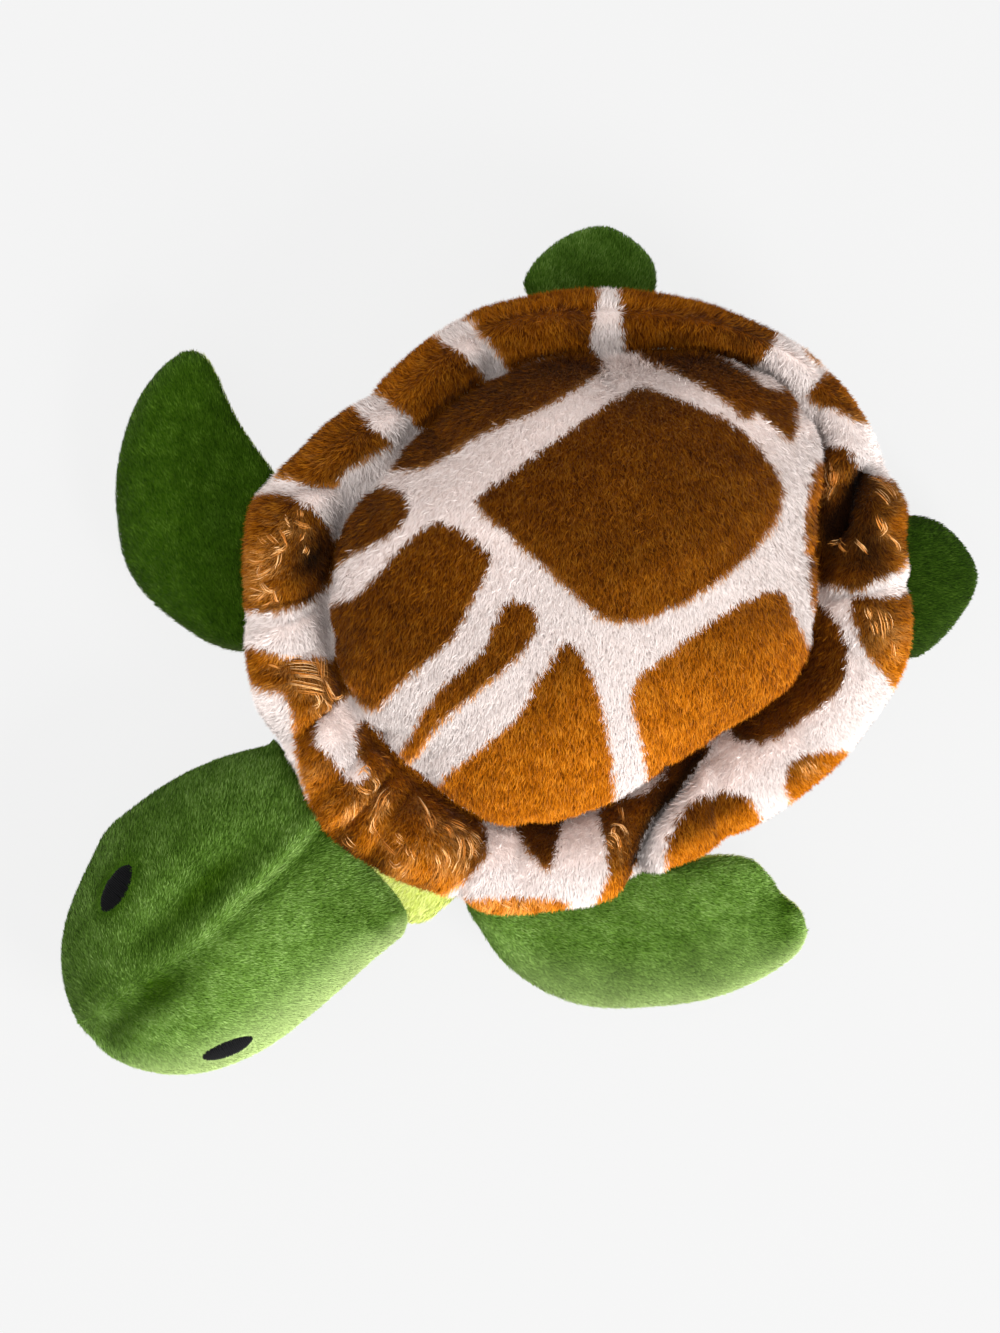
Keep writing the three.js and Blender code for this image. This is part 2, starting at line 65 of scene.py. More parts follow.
# Shell, in millimetres. The dome's edge and the brim's ends are turns in degrees.
SHELL_WIDTH, SHELL_LENGTH = 148.0, 168.0
DOME_WIDTH, DOME_LENGTH = 111.0, 134.0
DOME_MIDDLE = np.array([-4.0, 7.0])
DOME_EQUATOR, DOME_UNDERCUT, DOME_TOP = 46.0, 12.0, 84.0
DOME_EDGE = 100.0
RIM_HEIGHT, RIM_RISE, RIM_DROP = 40.0, 13.0, 15.0
RIM_START, RIM_END = 158.0, -58.0
BELLY_FLAT = 0.62
SEAM_GAP = 0.3
# How far each cloth lies inside its form, which leaves room for the pile
SHELL_INSET, BELLY_INSET, HEAD_INSET, NECK_INSET, FLIPPER_INSET = 1.7, 1.3, 0.4, 1.2, 1.0
# The unevenness of the shell's and the belly's cloth: its sizes along x, y and z, and its height
SHELL_WAVES, SHELL_WAVE_HEIGHT = (46, 40, 34), 0.55

# How the shell's outline and its crease wander from plain ellipses:
# angle in degrees, share of the ellipse's radius
OUTER_SHARES = [
    (0, 0.99), (8, 1.022), (16, 1.049), (24, 1.068), (32, 1.09), (36, 1.095), (44, 1.078), (52, 1.05), (60, 1.018),
    (68, 1.018), (80, 1.017), (92, 1.003), (104, 0.984), (116, 0.96), (132, 0.967), (144, 0.98), (156, 0.993),
    (164, 1.012), (172, 1.005), (180, 1.0), (186, 0.997), (192, 1.023), (200, 1.061), (206, 1.097), (211, 1.118),
    (217, 1.087), (226, 1.05), (236, 1.042), (246, 1.028), (253, 1.004), (258, 1.001), (266, 1.012), (277, 1.033),
    (286, 1.018), (298, 1.004), (309, 1.027), (320, 1.02), (330, 1.015), (336, 0.997), (341, 0.957), (350, 0.97),
]
CREASE_SHARES = [
    (0, 0.928), (7.8, 0.955), (16, 0.995), (23.4, 0.995), (31, 0.977), (40.3, 0.938), (50, 0.908), (63, 0.905),
    (72, 0.942), (80.8, 0.972), (92, 0.985), (118, 0.953), (137.9, 0.915), (162.1, 0.972), (179.8, 0.986),
    (193.4, 1.015), (209.5, 1.055), (229.8, 1.052), (248, 1.02), (267, 0.995), (289.8, 1.007), (301.7, 1.04),
    (312, 1.035), (319.8, 1.02), (332.7, 0.97), (340, 0.938), (350.1, 0.925),
]


def mix(a, b, share):
    return a + (b - a) * share


def smooth(low, high, x):
    t = np.clip((x - low) / (high - low), 0, 1)
    return t * t * (3 - 2 * t)


def unit(vectors, least=1e-6):
    """The vectors at length one; one shorter than least stays short."""
    return vectors / np.maximum(np.linalg.norm(vectors, axis=-1, keepdims=True), least)


def turn_gap(angle, at):
    """How far an angle is from another, from -180 to 180 degrees."""
    return ((angle - at + 540) % 360) - 180


def bump(gap, width):
    """One in the middle, falling off over the width."""
    return np.exp(-((gap / width) ** 2))


def curve_through(x, y, at):
    """A smooth curve through the points (x, y), read at some places."""
    slope = np.gradient(y, x)
    i = np.clip(np.searchsorted(x, at) - 1, 0, len(x) - 2)
    step = x[i + 1] - x[i]
    t = np.clip((at - x[i]) / step, 0, 1)
    h00, h10 = (1 + 2 * t) * (1 - t) ** 2, t * (1 - t) ** 2
    h01, h11 = t * t * (3 - 2 * t), t * t * (t - 1)
    return h00 * y[i] + h10 * step * slope[i] + h01 * y[i + 1] + h11 * step * slope[i + 1]


def round_table(table, angle):
    """A table of (degrees, value) read all the way round."""
    rows = np.array(table, float)
    rows = np.vstack([rows[-3:] - [360, 0], rows, rows[:3] + [360, 0]])
    return curve_through(rows[:, 0], rows[:, 1], np.asarray(angle) / DEGREE % 360)


def along_table(table, column, at):
    """One column of a table whose first column is the place."""
    rows = np.array(table, float)
    return curve_through(rows[:, 0], rows[:, column], at)


# How many waves lie over each other in what looks uneven
WAVES = 9


def wavy(points, size, seed):
    """Smooth, repeatable unevenness between -1 and 1, about size mm from crest to crest."""
    draw = np.random.default_rng(seed)
    total = np.zeros(points.shape[:-1])
    for _ in range(WAVES):
        way = draw.normal(size=3)
        way *= draw.uniform(0.7, 1.4) * 2 * math.pi / size / np.linalg.norm(way)
        total += np.sin(points @ way + draw.uniform(0, 2 * math.pi))
    return total / (WAVES / 2)


def wavy_ways(points, sizes, seed):
    """Unevenness that moves points along x, y and z, each with its own size."""
    return np.stack([wavy(points, size, seed + k) for k, size in enumerate(sizes)], -1)


# The camera, as a projection from millimetres to the photograph's pixels

view_back = np.array([-math.sin(VIEW_LEAN), 0, math.cos(VIEW_LEAN)])
view_right = VIEW_RIGHT - view_back * (VIEW_RIGHT @ view_back)
view_right /= np.linalg.norm(view_right)
view_up = np.cross(view_back, view_right)
view_place = VIEW_TARGET + view_back * VIEW_DISTANCE


def seen_at(points):
    """Where points in millimetres fall in the photograph, in pixels."""
    away = points - view_place
    depth = -(away @ view_back)
    scale = PIXELS_PER_MM * VIEW_DISTANCE / depth
    x = IMAGE_WIDTH / 2 + (away @ view_right) * scale
    y = IMAGE_HEIGHT / 2 - (away @ view_up) * scale
    return np.stack([x, y], -1)


def make_camera():
    data = bpy.data.cameras.new("photograph_view")
    camera = link("photograph_view", data)
    data.sensor_width = SENSOR
    data.lens = SENSOR * VIEW_DISTANCE / (IMAGE_HEIGHT / PIXELS_PER_MM)
    data.clip_start, data.clip_end = 0.01, 20
    axes = Matrix([view_right, view_up, view_back]).transposed()
    camera.matrix_world = Matrix.Translation(Vector(view_place * MM)) @ axes.to_4x4()
    bpy.context.scene.camera = camera


# Meshes from grids of points

def link(name, data):
    piece = bpy.data.objects.new(name, data)
    bpy.context.scene.collection.objects.link(piece)
    return piece


def mesh_piece(name, points, faces, smooth=True, scale=MM):
    mesh = bpy.data.meshes.new(name)
    mesh.from_pydata((np.asarray(points) * scale).tolist(), [], faces)
    mesh.update()
    if smooth:
        mesh.shade_smooth()
    return link(name, mesh)


def grid_mesh(name, rows, start_point=None, end_point=None):
    """A mesh from rings of points, each closed on itself; an end may close on a point."""
    count, around = rows.shape[:2]
    points, ring = rows.reshape(-1, 3), np.arange(around)
    turned = (ring + 1) % around
    steps = np.arange(count - 1)[:, None] * around
    here, following = (steps + ring).ravel(), (steps + turned).ravel()
    faces = np.stack([here, following, following + around, here + around], 1).tolist()
    for point, base, a, b in ((start_point, 0, turned, ring), (end_point, (count - 1) * around, ring, turned)):
        if point is not None:
            points = np.vstack([points, point])
            faces += [[len(points) - 1, int(i) + base, int(k) + base] for i, k in zip(a, b)]
    return mesh_piece(name, points, faces)


def closed_mesh(name, rows):
    """A mesh from rings of points, whose ends close on their own middles."""
    return turned_out(grid_mesh(name, rows, rows[0].mean(0), rows[-1].mean(0)))


def write_floats(piece, **layers):
    """Writes values at a piece's points; a single number goes to all of them."""
    count = len(piece.data.vertices)
    for name, values in layers.items():
        layer = piece.data.attributes.new(name, "FLOAT", "POINT")
        layer.data.foreach_set("value", np.array(np.broadcast_to(np.ravel(values), count), np.float32))


def write_vectors(piece, **layers):
    for name, values in layers.items():
        layer = piece.data.attributes.new(name, "FLOAT_VECTOR", "POINT")
        layer.data.foreach_set("vector", np.asarray(values, np.float32).ravel())


def read_all(rows, key, width=3, kind=np.float32):
    """One value of every vertex, corner or face, as an array."""
    found = np.empty(len(rows) * width, kind)
    rows.foreach_get(key, found)
    return found.reshape(-1, width) if width > 1 else found


def places(piece):
    return read_all(piece.data.vertices, "co").astype(float) / MM


def facings(piece):
    return read_all(piece.data.vertex_normals, "vector").astype(float)


def turned_out(piece):
    """Turns the faces over if most of them point inwards."""
    co = places(piece)
    middle = co.mean(0)
    corners = (co[list(face.vertices[:3])] - middle for face in list(piece.data.polygons)[::7])
    if sum(np.dot(a, np.cross(b, c)) for a, b, c in corners) < 0:
        piece.data.flip_normals()
    return piece


# Shell surface

def ellipse(width, length, angle):
    return np.stack([width / 2 * np.cos(angle), length / 2 * np.sin(angle)], -1)


def rim_outer(angle):
    return ellipse(SHELL_WIDTH, SHELL_LENGTH, angle) * round_table(OUTER_SHARES, angle)[..., None]


def crease_line(angle):
    return ellipse(DOME_WIDTH, DOME_LENGTH, angle) * round_table(CREASE_SHARES, angle)[..., None] + DOME_MIDDLE


def rim_width(angle):
    return np.linalg.norm(rim_outer(angle) - crease_line(angle), axis=-1)


def seam_reach(angle):
    """How far out from the crease the side seam lies."""
    return rim_width(angle) / 2 * (1 + math.cos(RIM_END * DEGREE))


def slice_point(angle, across, up):
    """A point so far out from the crease, and so high."""
    crease = crease_line(angle)
    flat = crease + unit(rim_outer(angle) - crease) * across[..., None]
    return np.concatenate([flat, np.broadcast_to(up, across.shape)[..., None]], -1)


def rim_point(angle, turn, inset):
    half = rim_width(angle) / 2
    across = half + (half - inset) * np.cos(turn * DEGREE)
    height = np.where(turn > 0, RIM_RISE, RIM_DROP) - inset
    return slice_point(angle, across, RIM_HEIGHT + height * np.sin(turn * DEGREE))


def dome_point(angle, slope, inset):
    crease = crease_line(angle)
    radial = crease - DOME_MIDDLE
    length = np.linalg.norm(radial, axis=-1)
    reach = (length - 0.4) / math.sin(DOME_EDGE * DEGREE) - inset
    full = np.sin(np.minimum(slope, 90) * DEGREE) ** 0.93 * np.where(slope > 90, np.sin(slope * DEGREE), 1)
    rise = np.where(slope < 90, DOME_TOP - DOME_EQUATOR, DOME_UNDERCUT) - inset
    flat = DOME_MIDDLE + radial / length[..., None] * (reach * full)[..., None]
    return np.concatenate([flat, (DOME_EQUATOR + rise * np.cos(slope * DEGREE))[..., None]], -1)


# Tucks where the cloth is gathered into the crease: angle, width and depth on the brim,
# depth on the dome, in degrees and millimetres
TUCKS = [
    (345, 4, 1.5, 0.8), (71, 6, 2.0, 0.5), (283, 4, 3.0, 0.5), (268, 4, 2.6, 2.2), (255, 4, 3.4, 0.6),
    (240, 5, 3.0, 1.0), (228, 4, 2.2, 0.8), (205, 5, 3.2, 1.0), (187, 4, 2.4, 1.2), (168, 5, 2.4, 0.6),
    (146, 4, 2.2, 0.6), (126, 5, 2.2, 0.8), (106, 4, 1.8, 0.6), (89, 4, 1.6, 0.8), (52, 4, 1.8, 0.5),
    (33, 5, 1.8, 0.6), (14, 4, 1.6, 0.8), (352, 5, 2.2, 0.5), (312, 4, 2.0, 0.6), (298, 4, 1.8, 0.5),
]


# The depths' columns in that table
ON_RIM, ON_DOME = 2, 3


def tuck_depth(angle, share, column):
    total = np.zeros(np.broadcast(angle, share).shape)
    for tuck in TUCKS:
        off = turn_gap(angle / DEGREE, tuck[0])
        shape = 0.5 * bump(off, tuck[1]) + 0.5 * np.exp(-2 * np.abs(off) / tuck[1])
        total = total + tuck[column] * shape * share
    return total


SHELL_AROUND = 240
DOME_ROWS, RIM_ROWS = 28, 30
CREASE_HEIGHT, CREASE_REACH = 42.6, 0.2

# A fold in the dome's cloth beside the narrow brown patch: its line, half width and depth
DOME_VALLEY = ((3.0, -53.0, -2.5, -20.0), 2.6, 1.5)

# Folds of the brim's cloth, placed in the photograph's pixels: a line of points, then the
# half width and the depth in millimetres
RIM_FOLDS = [
    ((704, 746, 675, 789, 648, 826, 634, 862, 634, 905), 2.6, 8),
    ((860, 474, 850, 500, 840, 520, 824, 536), 3.2, 7.5),
    ((400, 756, 380, 794, 354, 820), 1.8, 3),
    ((348, 690, 322, 712, 308, 766), 1.6, 1.8),
    ((250, 486, 292, 492, 336, 488), 1.8, 2.6),
    ((240, 618, 290, 622, 330, 600), 2.2, 1.6),
    ((420, 432, 384, 398, 366, 384), 2.4, 1.6),
    ((506, 372, 476, 338, 462, 318), 2.4, 1.4),
    ((482, 832, 470, 868, 458, 900), 1.8, 1.8),
    ((812, 600, 852, 590, 915, 586), 1.8, 1.6),
    ((800, 395, 826, 372, 840, 350), 2, 1.6),
]
# A fold deeper than this is painted dark inside: painted shade
DEEP_FOLD = 5
# Lumps of its stuffing: a pixel, then the half width and the height in millimetres
RIM_LUMPS = [
    (836, 462, 4, 3), (880, 508, 6, 2.4), (832, 526, 4.5, -4), (852, 574, 6, 1.8), (284, 546, 10, 1.8),
    (424, 836, 8, 2.2), (344, 800, 4, 1.6), (672, 826, 6, 2), (320, 690, 5, 1.4), (446, 366, 8, 1.6),
    (560, 322, 10, 1), (330, 440, 7, 1.4), (700, 325, 10, 1), (376, 760, 3.5, 1.2), (296, 640, 6, 0.8),
    (880, 640, 8, 1),
]


def line_gap(at, line):
    """How far each place is from a line of points, in the places' own unit."""
    best = np.full(at.shape[:-1], 1e9)
    line = np.reshape(line, (-1, 2)).astype(float)
    for first, last in zip(line[:-1], line[1:]):
        way = last - first
        share = np.clip(((at - first) @ way) / (way @ way), 0, 1)
        best = np.minimum(best, np.linalg.norm(at - first - share[..., None] * way, axis=-1))
    return best


def seen_gap(seen, line):
    """How far places in the photograph are from a line of pixels, in millimetres."""
    return line_gap(seen, line) / PIXELS_PER_MM


def spot(seen, x, y, width):
    """A soft spot round a pixel, with its half width in millimetres."""
    return bump(seen_gap(seen, (x, y, x + 1, y)), width)


def spots(points, table):
    """Adds up soft spots: their pixels, half widths and strengths."""
    seen = seen_at(points)
    return sum(strength * spot(seen, x, y, width) for x, y, width, strength in table)


def fold_depth(points):
    """0 to 1: how far down in one of the brim's deepest folds each point lies, where painted shade goes."""
    seen = seen_at(points)
    return sum(bump(seen_gap(seen, line), width) for line, width, depth in RIM_FOLDS if depth > DEEP_FOLD)


def rim_relief(rim):
    """How far the folds and lumps move each point of the brim outwards."""
    seen = seen_at(rim)
    up = np.zeros(seen.shape[:-1])
    for line, width, depth in RIM_FOLDS:
        up -= depth * np.exp(-((seen_gap(seen, line) / width) ** 1.4))
    for x, y, width, height in RIM_LUMPS:
        up += height * spot(seen, x, y, width)
    return up


# Where the brim runs on into the dome with hardly a crease: a pixel, the half width, and the
# height to which the crease is filled
CREASE_FILLED = [
    (372, 462, 10, 51), (806, 392, 6, 47.5), (610, 352, 7, 48),
]


def crease_filled(rows):
    for x, y, width, level in CREASE_FILLED:
        share = spot(seen_at(rows), x, y, width)
        rows[..., 2] += np.maximum(level - rows[..., 2], 0) * (rows[..., 2] > CREASE_HEIGHT - 1) * share
    return rows


def rim_turns(fine):
    return np.linspace(RIM_START, RIM_END, (RIM_ROWS - 1) * fine + 1)


def shell_rows(fine):
    """Rings from the dome's top to its edge, one in the crease, and on over the brim to the seam."""
    around = SHELL_AROUND * fine
    angle = np.arange(around) / around * TURN
    a, s = np.meshgrid(angle, np.linspace(1.5, DOME_EDGE, (DOME_ROWS - 1) * fine + 1))
    dome = dome_point(a, s, SHELL_INSET)
    tuck = tuck_depth(a, smooth(58, 97, s), ON_DOME)
    dome[..., :2] += -unit(dome[..., :2] - DOME_MIDDLE) * tuck[..., None]
    dome[..., 2] -= 0.35 * tuck
    line, width, depth = DOME_VALLEY
    dome[..., 2] -= depth * bump(line_gap(dome[..., :2], line), width)
    a, t = np.meshgrid(angle, rim_turns(fine))
    rim = rim_point(a, t, SHELL_INSET)
    outward = slice_point(a, np.ones_like(t), 0 * t) - slice_point(a, 0 * t, 0 * t)
    facing = outward * np.cos(t * DEGREE)[..., None] + np.array([0, 0, 1]) * np.sin(t * DEGREE)[..., None]
    rim = rim + facing * (rim_relief(rim) * smooth(-25, 30, t) * smooth(160, 140, t))[..., None]
    rim[..., 2] -= tuck_depth(a, smooth(10, 60, t) * smooth(175, 120, t), ON_RIM)
    low = slice_point(a[:1], np.full((1, around), CREASE_REACH), CREASE_HEIGHT)
    return tuple(crease_filled(rows) for rows in (dome, low, rim))


def doubled(field):
    """A grid of values on rings, read at twice as many places both ways."""
    ahead, behind, further = np.roll(field, -1, 1), np.roll(field, 1, 1), np.roll(field, -2, 1)
    between = (9 * (field + ahead) - behind - further) / 16
    wide = np.stack([field, between], 2).reshape(field.shape[0], -1, *field.shape[2:])
    middle = (wide[:-1] + wide[1:]) / 2
    out = np.empty((2 * len(wide) - 1, *wide.shape[1:]))
    out[::2], out[1::2] = wide, middle
    return out


# The cloth simulation: how long it runs, and its settings
SETTLE_FRAMES = 20
STUFFING = dict(quality=4, mass=0.02, tension_stiffness=15, compression_stiffness=15, shear_stiffness=5,
                bending_stiffness=1.0, use_pressure=True, uniform_pressure_force=20, vertex_group_mass="seams")


def swollen(rows, held, slack, most):
    """How far stuffing moves each point of a sewn cloth: a cloth simulation whose seams are held.
    It runs at ten times the size, where the simulation's forces suit plush. The cloth has some
    slack, as a share of its size, and no point moves further than most."""
    scale = 0.01 / MM
    trial = turned_out(grid_mesh("trial", rows * scale, rows[0].mean(0) * scale, rows[-1].mean(0) * scale))
    facing = facings(trial)[:rows.size // 3].reshape(rows.shape)
    trial.vertex_groups.new(name="seams").add(held, 1.0, "REPLACE")
    change = trial.modifiers.new("stuffed", "CLOTH")
    change.point_cache.frame_start, change.point_cache.frame_end = 1, SETTLE_FRAMES
    for key, value in STUFFING.items():
        setattr(change.settings, key, value)
    change.settings.shrink_min = -slack
    change.settings.effector_weights.gravity = 0
    for step in range(1, SETTLE_FRAMES + 1):
        bpy.context.scene.frame_set(step)
    settled = trial.evaluated_get(bpy.context.evaluated_depsgraph_get()).data
    found = read_all(settled.vertices, "co")[:rows.size // 3].astype(float)
    moved = (found / MM / scale - rows.reshape(-1, 3)).reshape(rows.shape)
    bpy.context.scene.frame_set(1)
    bpy.data.objects.remove(trial)
    # The cloth was cut for the size it has when it is full, so each ring keeps its size
    grown = (moved * facing).sum(-1).mean(1)
    moved -= facing * grown[:, None, None]
    still = (moved == 0).all(-1).all(1)
    for _ in range(2):
        moved = (np.roll(moved, 1, 1) + 2 * moved + np.roll(moved, -1, 1)) / 4
        moved[1:-1] = (moved[:-2] + 2 * moved[1:-1] + moved[2:]) / 4
        moved[still] = 0
    far = np.linalg.norm(moved, axis=-1, keepdims=True)
    return moved * np.minimum(1, most / np.maximum(far, 1e-6))


def shell_cloth():
    """The shell's printed cloth as one sheet, stuffed, on a grid of twice the simulation's fineness."""
    rows = np.vstack(shell_rows(1))
    crease = (DOME_ROWS - 1) * SHELL_AROUND
    count = rows.size // 3
    held = [*range(crease, crease + 3 * SHELL_AROUND), *range(count - 2 * SHELL_AROUND, count), count + 1]
    moved = swollen(rows, held, slack=0.06, most=3.0)
    dome, low, rim = shell_rows(2)
    rows = np.vstack([dome + doubled(moved[:DOME_ROWS]), low, rim + doubled(moved[DOME_ROWS + 1:])])
    rows += wavy_ways(rows, SHELL_WAVES, 11) * SHELL_WAVE_HEIGHT
    return turned_out(grid_mesh("shell_cloth", rows, start_point=rows[0].mean(0))), rows


# The print: brown patches outlined in the photograph's pixels, x and y in turn
DOME_PATCHES = [
    (478, 499, 520, 465, 623, 394, 659, 392, 734, 423, 775, 472, 777, 512, 743, 557, 699, 592, 641, 617, 600, 613,
     551, 570, 507, 530),
    (326, 610, 364, 588, 395, 552, 431, 523, 453, 523, 489, 548, 489, 566, 471, 601, 453, 637, 409, 673, 373, 706,
     342, 673, 330, 637),
    (512, 597, 533, 602, 537, 622, 523, 649, 481, 686, 439, 722, 415, 755, 399, 753, 416, 722, 439, 686, 481, 649,
     499, 610),
    (567, 637, 587, 659, 600, 695, 614, 771, 613, 815, 601, 830, 560, 840, 498, 842, 452, 818, 438, 790, 442, 775,
     480, 744, 516, 713, 538, 673),
    (632, 682, 676, 642, 721, 610, 775, 586, 792, 612, 806, 642, 818, 668, 794, 704, 748, 740, 662, 796, 640, 735),
    (398, 470, 402, 455, 412, 432, 424, 408, 456, 392, 485, 376, 514, 366, 560, 358, 594, 342, 603, 352, 600, 372,
     547, 406, 481, 435, 435, 464),
    (632, 350, 680, 346, 737, 369, 763, 388, 794, 390, 794, 408, 790, 439, 769, 424, 756, 412, 744, 418, 718, 397,
     680, 376, 640, 362),
    (346, 485, 377, 484, 403, 489, 412, 512, 392, 534, 356, 553, 334, 570, 322, 564, 334, 530),
    (814, 458, 824, 466, 840, 480, 840, 612, 818, 620, 808, 600, 804, 560, 801, 526, 807, 477),
]
RIM_PATCHES = [
    (810, 596, 834, 614, 847, 634, 847, 663, 836, 692, 807, 715, 774, 737, 754, 741, 737, 737, 731, 722, 776, 690,
     798, 650),
    (455, 316, 446, 294, 520, 262, 598, 256, 599, 295, 592, 340, 600, 358, 560, 380, 514, 386, 505, 369, 501, 352,
     481, 332),
    (622, 256, 720, 278, 796, 320, 772, 340, 769, 348, 756, 361, 737, 367, 728, 380, 700, 372, 676, 364, 638, 362,
     625, 346),
    (433, 337, 414, 312, 352, 372, 374, 394, 382, 399, 409, 412, 420, 434, 438, 416, 462, 400, 490, 384, 472, 361,
     448, 344),
    (354, 406, 334, 388, 268, 446, 256, 476, 295, 480, 332, 483, 345, 468, 368, 454, 391, 440, 374, 426),
    (246, 493, 262, 494, 298, 498, 324, 519, 334, 545, 328, 576, 309, 600, 277, 610, 243, 611, 220, 612, 220, 493),
    (250, 644, 298, 655, 334, 660, 349, 690, 328, 708, 317, 736, 330, 754, 352, 779, 367, 772, 355, 748, 355, 726,
     366, 711, 404, 748, 456, 795, 486, 832, 482, 862, 446, 893, 400, 925, 340, 900, 300, 850, 304, 812, 311, 800,
     304, 772, 299, 748, 295, 719, 286, 693, 256, 682),
    (514, 822, 519, 836, 549, 868, 560, 832, 560, 818),
    (460, 897, 475, 894, 520, 893, 563, 896, 569, 908, 556, 940, 500, 945, 450, 920),
    (602, 810, 644, 792, 665, 776, 700, 738, 712, 746, 675, 794, 649, 825, 638, 858, 642, 888, 660, 925, 578, 935,
     591, 905, 606, 875, 606, 841),
    (668, 838, 690, 803, 715, 790, 745, 792, 761, 818, 785, 850, 695, 905, 668, 880),
    (782, 782, 787, 761, 800, 751, 825, 747, 848, 750, 872, 770, 810, 826, 790, 806),
    (853, 597, 886, 595, 912, 589, 945, 588, 940, 660, 904, 712, 891, 690, 877, 667, 859, 634),
    (812, 446, 832, 444, 848, 446, 857, 461, 870, 477, 892, 484, 903, 503, 922, 508, 920, 532, 906, 552, 899, 567,
     877, 577, 858, 587, 831, 583, 812, 576, 814, 520),
    (822, 375, 840, 380, 856, 398, 884, 432, 869, 428, 839, 412, 809, 394),
    (797, 343, 814, 354, 822, 370, 806, 362),
]
# Steps of the curve between two points of an outline
PATCH_CURVE_STEPS = 5
# How far from its edge a patch is worked out, in pixels
PRINT_REACH = 40.0
# The brim's turn, in degrees, below which its print doesn't show in the photograph
HIDDEN_TURN = 8


def rounded(outline):
    """A closed curve through the outline's points."""
    p = np.reshape(outline, (-1, 2)).astype(float)
    a, c, d = np.roll(p, 1, 0), np.roll(p, -1, 0), np.roll(p, -2, 0)
    steps = np.arange(PATCH_CURVE_STEPS) / PATCH_CURVE_STEPS
    out = [0.5 * (2 * p + (c - a) * t + (2 * a - 5 * p + 4 * c - d) * t * t + (3 * p - a - 3 * c + d) * t ** 3)
           for t in steps]
    return np.stack(out, 1).reshape(-1, 2)


def inside_by(points, outline):
    """How far each point lies inside a closed curve, in pixels; outside it is negative."""
    ring = rounded(outline)
    result = np.full(len(points), -PRINT_REACH)
    near = ((points > ring.min(0) - PRINT_REACH) & (points < ring.max(0) + PRINT_REACH)).all(1)
    p = points[near]
    crossings = np.zeros(len(p), int)
    for a, b in zip(ring, np.roll(ring, -1, 0)):
        rise = b[1] - a[1] if abs(b[1] - a[1]) > 1e-9 else 1e-9
        spans = (a[1] > p[:, 1]) != (b[1] > p[:, 1])
        crossings += spans & (p[:, 0] < a[0] + (p[:, 1] - a[1]) * (b[0] - a[0]) / rise)
    nearest = line_gap(p, np.vstack([ring, ring[:1]]))
    result[near] = np.where(crossings % 2 == 1, nearest, -nearest)
    return result


def print_depth(rows, patches):
    """How deep each point lies inside the nearest brown patch, in millimetres."""
    pixels = seen_at(rows).reshape(-1, 2)
    best = np.full(len(pixels), -PRINT_REACH)
    for outline in patches:
        best = np.maximum(best, inside_by(pixels, outline))
    return best / PIXELS_PER_MM


def shell_print(rows):
    """The print's depth at each point of the shell's grid, the hidden side of the brim included."""
    dome_count = (DOME_ROWS - 1) * 2 + 1
    turns = rim_turns(2)
    below = np.maximum(HIDDEN_TURN - turns, 0)[:, None]
    edge = int(np.argmin(np.abs(turns - HIDDEN_TURN)))
    shown = rows[dome_count + 1:].copy()
    shown[edge:] = shown[edge]
    rim = print_depth(shown, RIM_PATCHES).reshape(shown.shape[:2])
    around = np.arange(rim.shape[1]) / rim.shape[1] * TURN
    # Under the brim the patches narrow by their own amounts, the further down the more
    rim = rim - 0.07 * below * (0.4 + 0.6 * np.sin(5 * around + 2) ** 2)
    dome = print_depth(rows[:dome_count], DOME_PATCHES)
    return np.concatenate([dome, rim[0], rim.ravel(), dome[:1]])


# Pile: short blades of fibre, grown from a cloth by geometry nodes

# How far along a blade it bends
BLADE_MIDDLE = 0.42
# How far a blade rises from the cloth at least, and how far it may turn about itself
LEAST_RISE, SPIN = 0.35, 0.6


def new_node(tree, kind, links=None, **settings):
    made = tree.nodes.new(kind)
    for key, value in settings.items():
        setattr(made, key, value)
    for key, value in (links or {}).items():
        if isinstance(value, Field):
            tree.links.new(value.socket, made.inputs[key])
        else:
            made.inputs[key].default_value = value
    return made


class Field:
    """A node's output. It can be added, multiplied and so on, which makes more nodes."""
    kind = "ShaderNodeMath"

    def __init__(self, node, output=0):
        self.tree, self.socket = node.id_data, node.outputs[output]

    def maths(self, operation, *others):
        values = dict(enumerate((self, *others)))
        return type(self)(new_node(self.tree, self.kind, values, operation=operation))

    def __add__(self, other):
        return self.maths("ADD", other)

    def __sub__(self, other):
        return self.maths("SUBTRACT", other)

    def __mul__(self, other):
        return self.maths("MULTIPLY", other)

    def fract(self, times):
        """A number from 0 to 1 that has nothing to do with the value it comes from."""
        return (self * times).maths("FRACT")

    def ranged(self, low, high, to_low=0.0, to_high=1.0):
        return Field(new_node(self.tree, "ShaderNodeMapRange", {
            "Value": self, "From Min": low, "From Max": high, "To Min": to_low, "To Max": to_high}))

    def ramp(self, stops):
        """A colour from a table of places from 0 to 1 and colours."""
        made = new_node(self.tree, "ShaderNodeValToRGB", {0: self})
        rows = made.color_ramp.elements
        while len(rows) < len(stops):
            rows.new(0.5)
        for row, (at, colour) in zip(rows, stops):
            row.position, row.color = at, linear(colour)
        return Field(made)

    def mixed(self, share, other, kind="MIX"):
        """This colour with some of another."""
        links = {0: share, 6: self, 7: other}
        return Field(new_node(self.tree, "ShaderNodeMix", links, data_type="RGBA", blend_type=kind), 2)

    def levelled(self, level):
        """This colour made lighter or darker."""
        return self.mixed(1.0, Field(new_node(self.tree, "ShaderNodeCombineColor", {i: level for i in range(3)})),
                          "MULTIPLY")


class Arrow(Field):
    """The same for a vector."""
    kind = "ShaderNodeVectorMath"

    def __mul__(self, by):
        return Arrow(new_node(self.tree, self.kind, {0: self, "Scale": by}, operation="SCALE"))


def attribute(tree, name, kind="FLOAT"):
    node = new_node(tree, "GeometryNodeInputNamedAttribute", {"Name": name}, data_type=kind)
    return Field(node, "Attribute") if kind == "FLOAT" else Arrow(node, "Attribute")


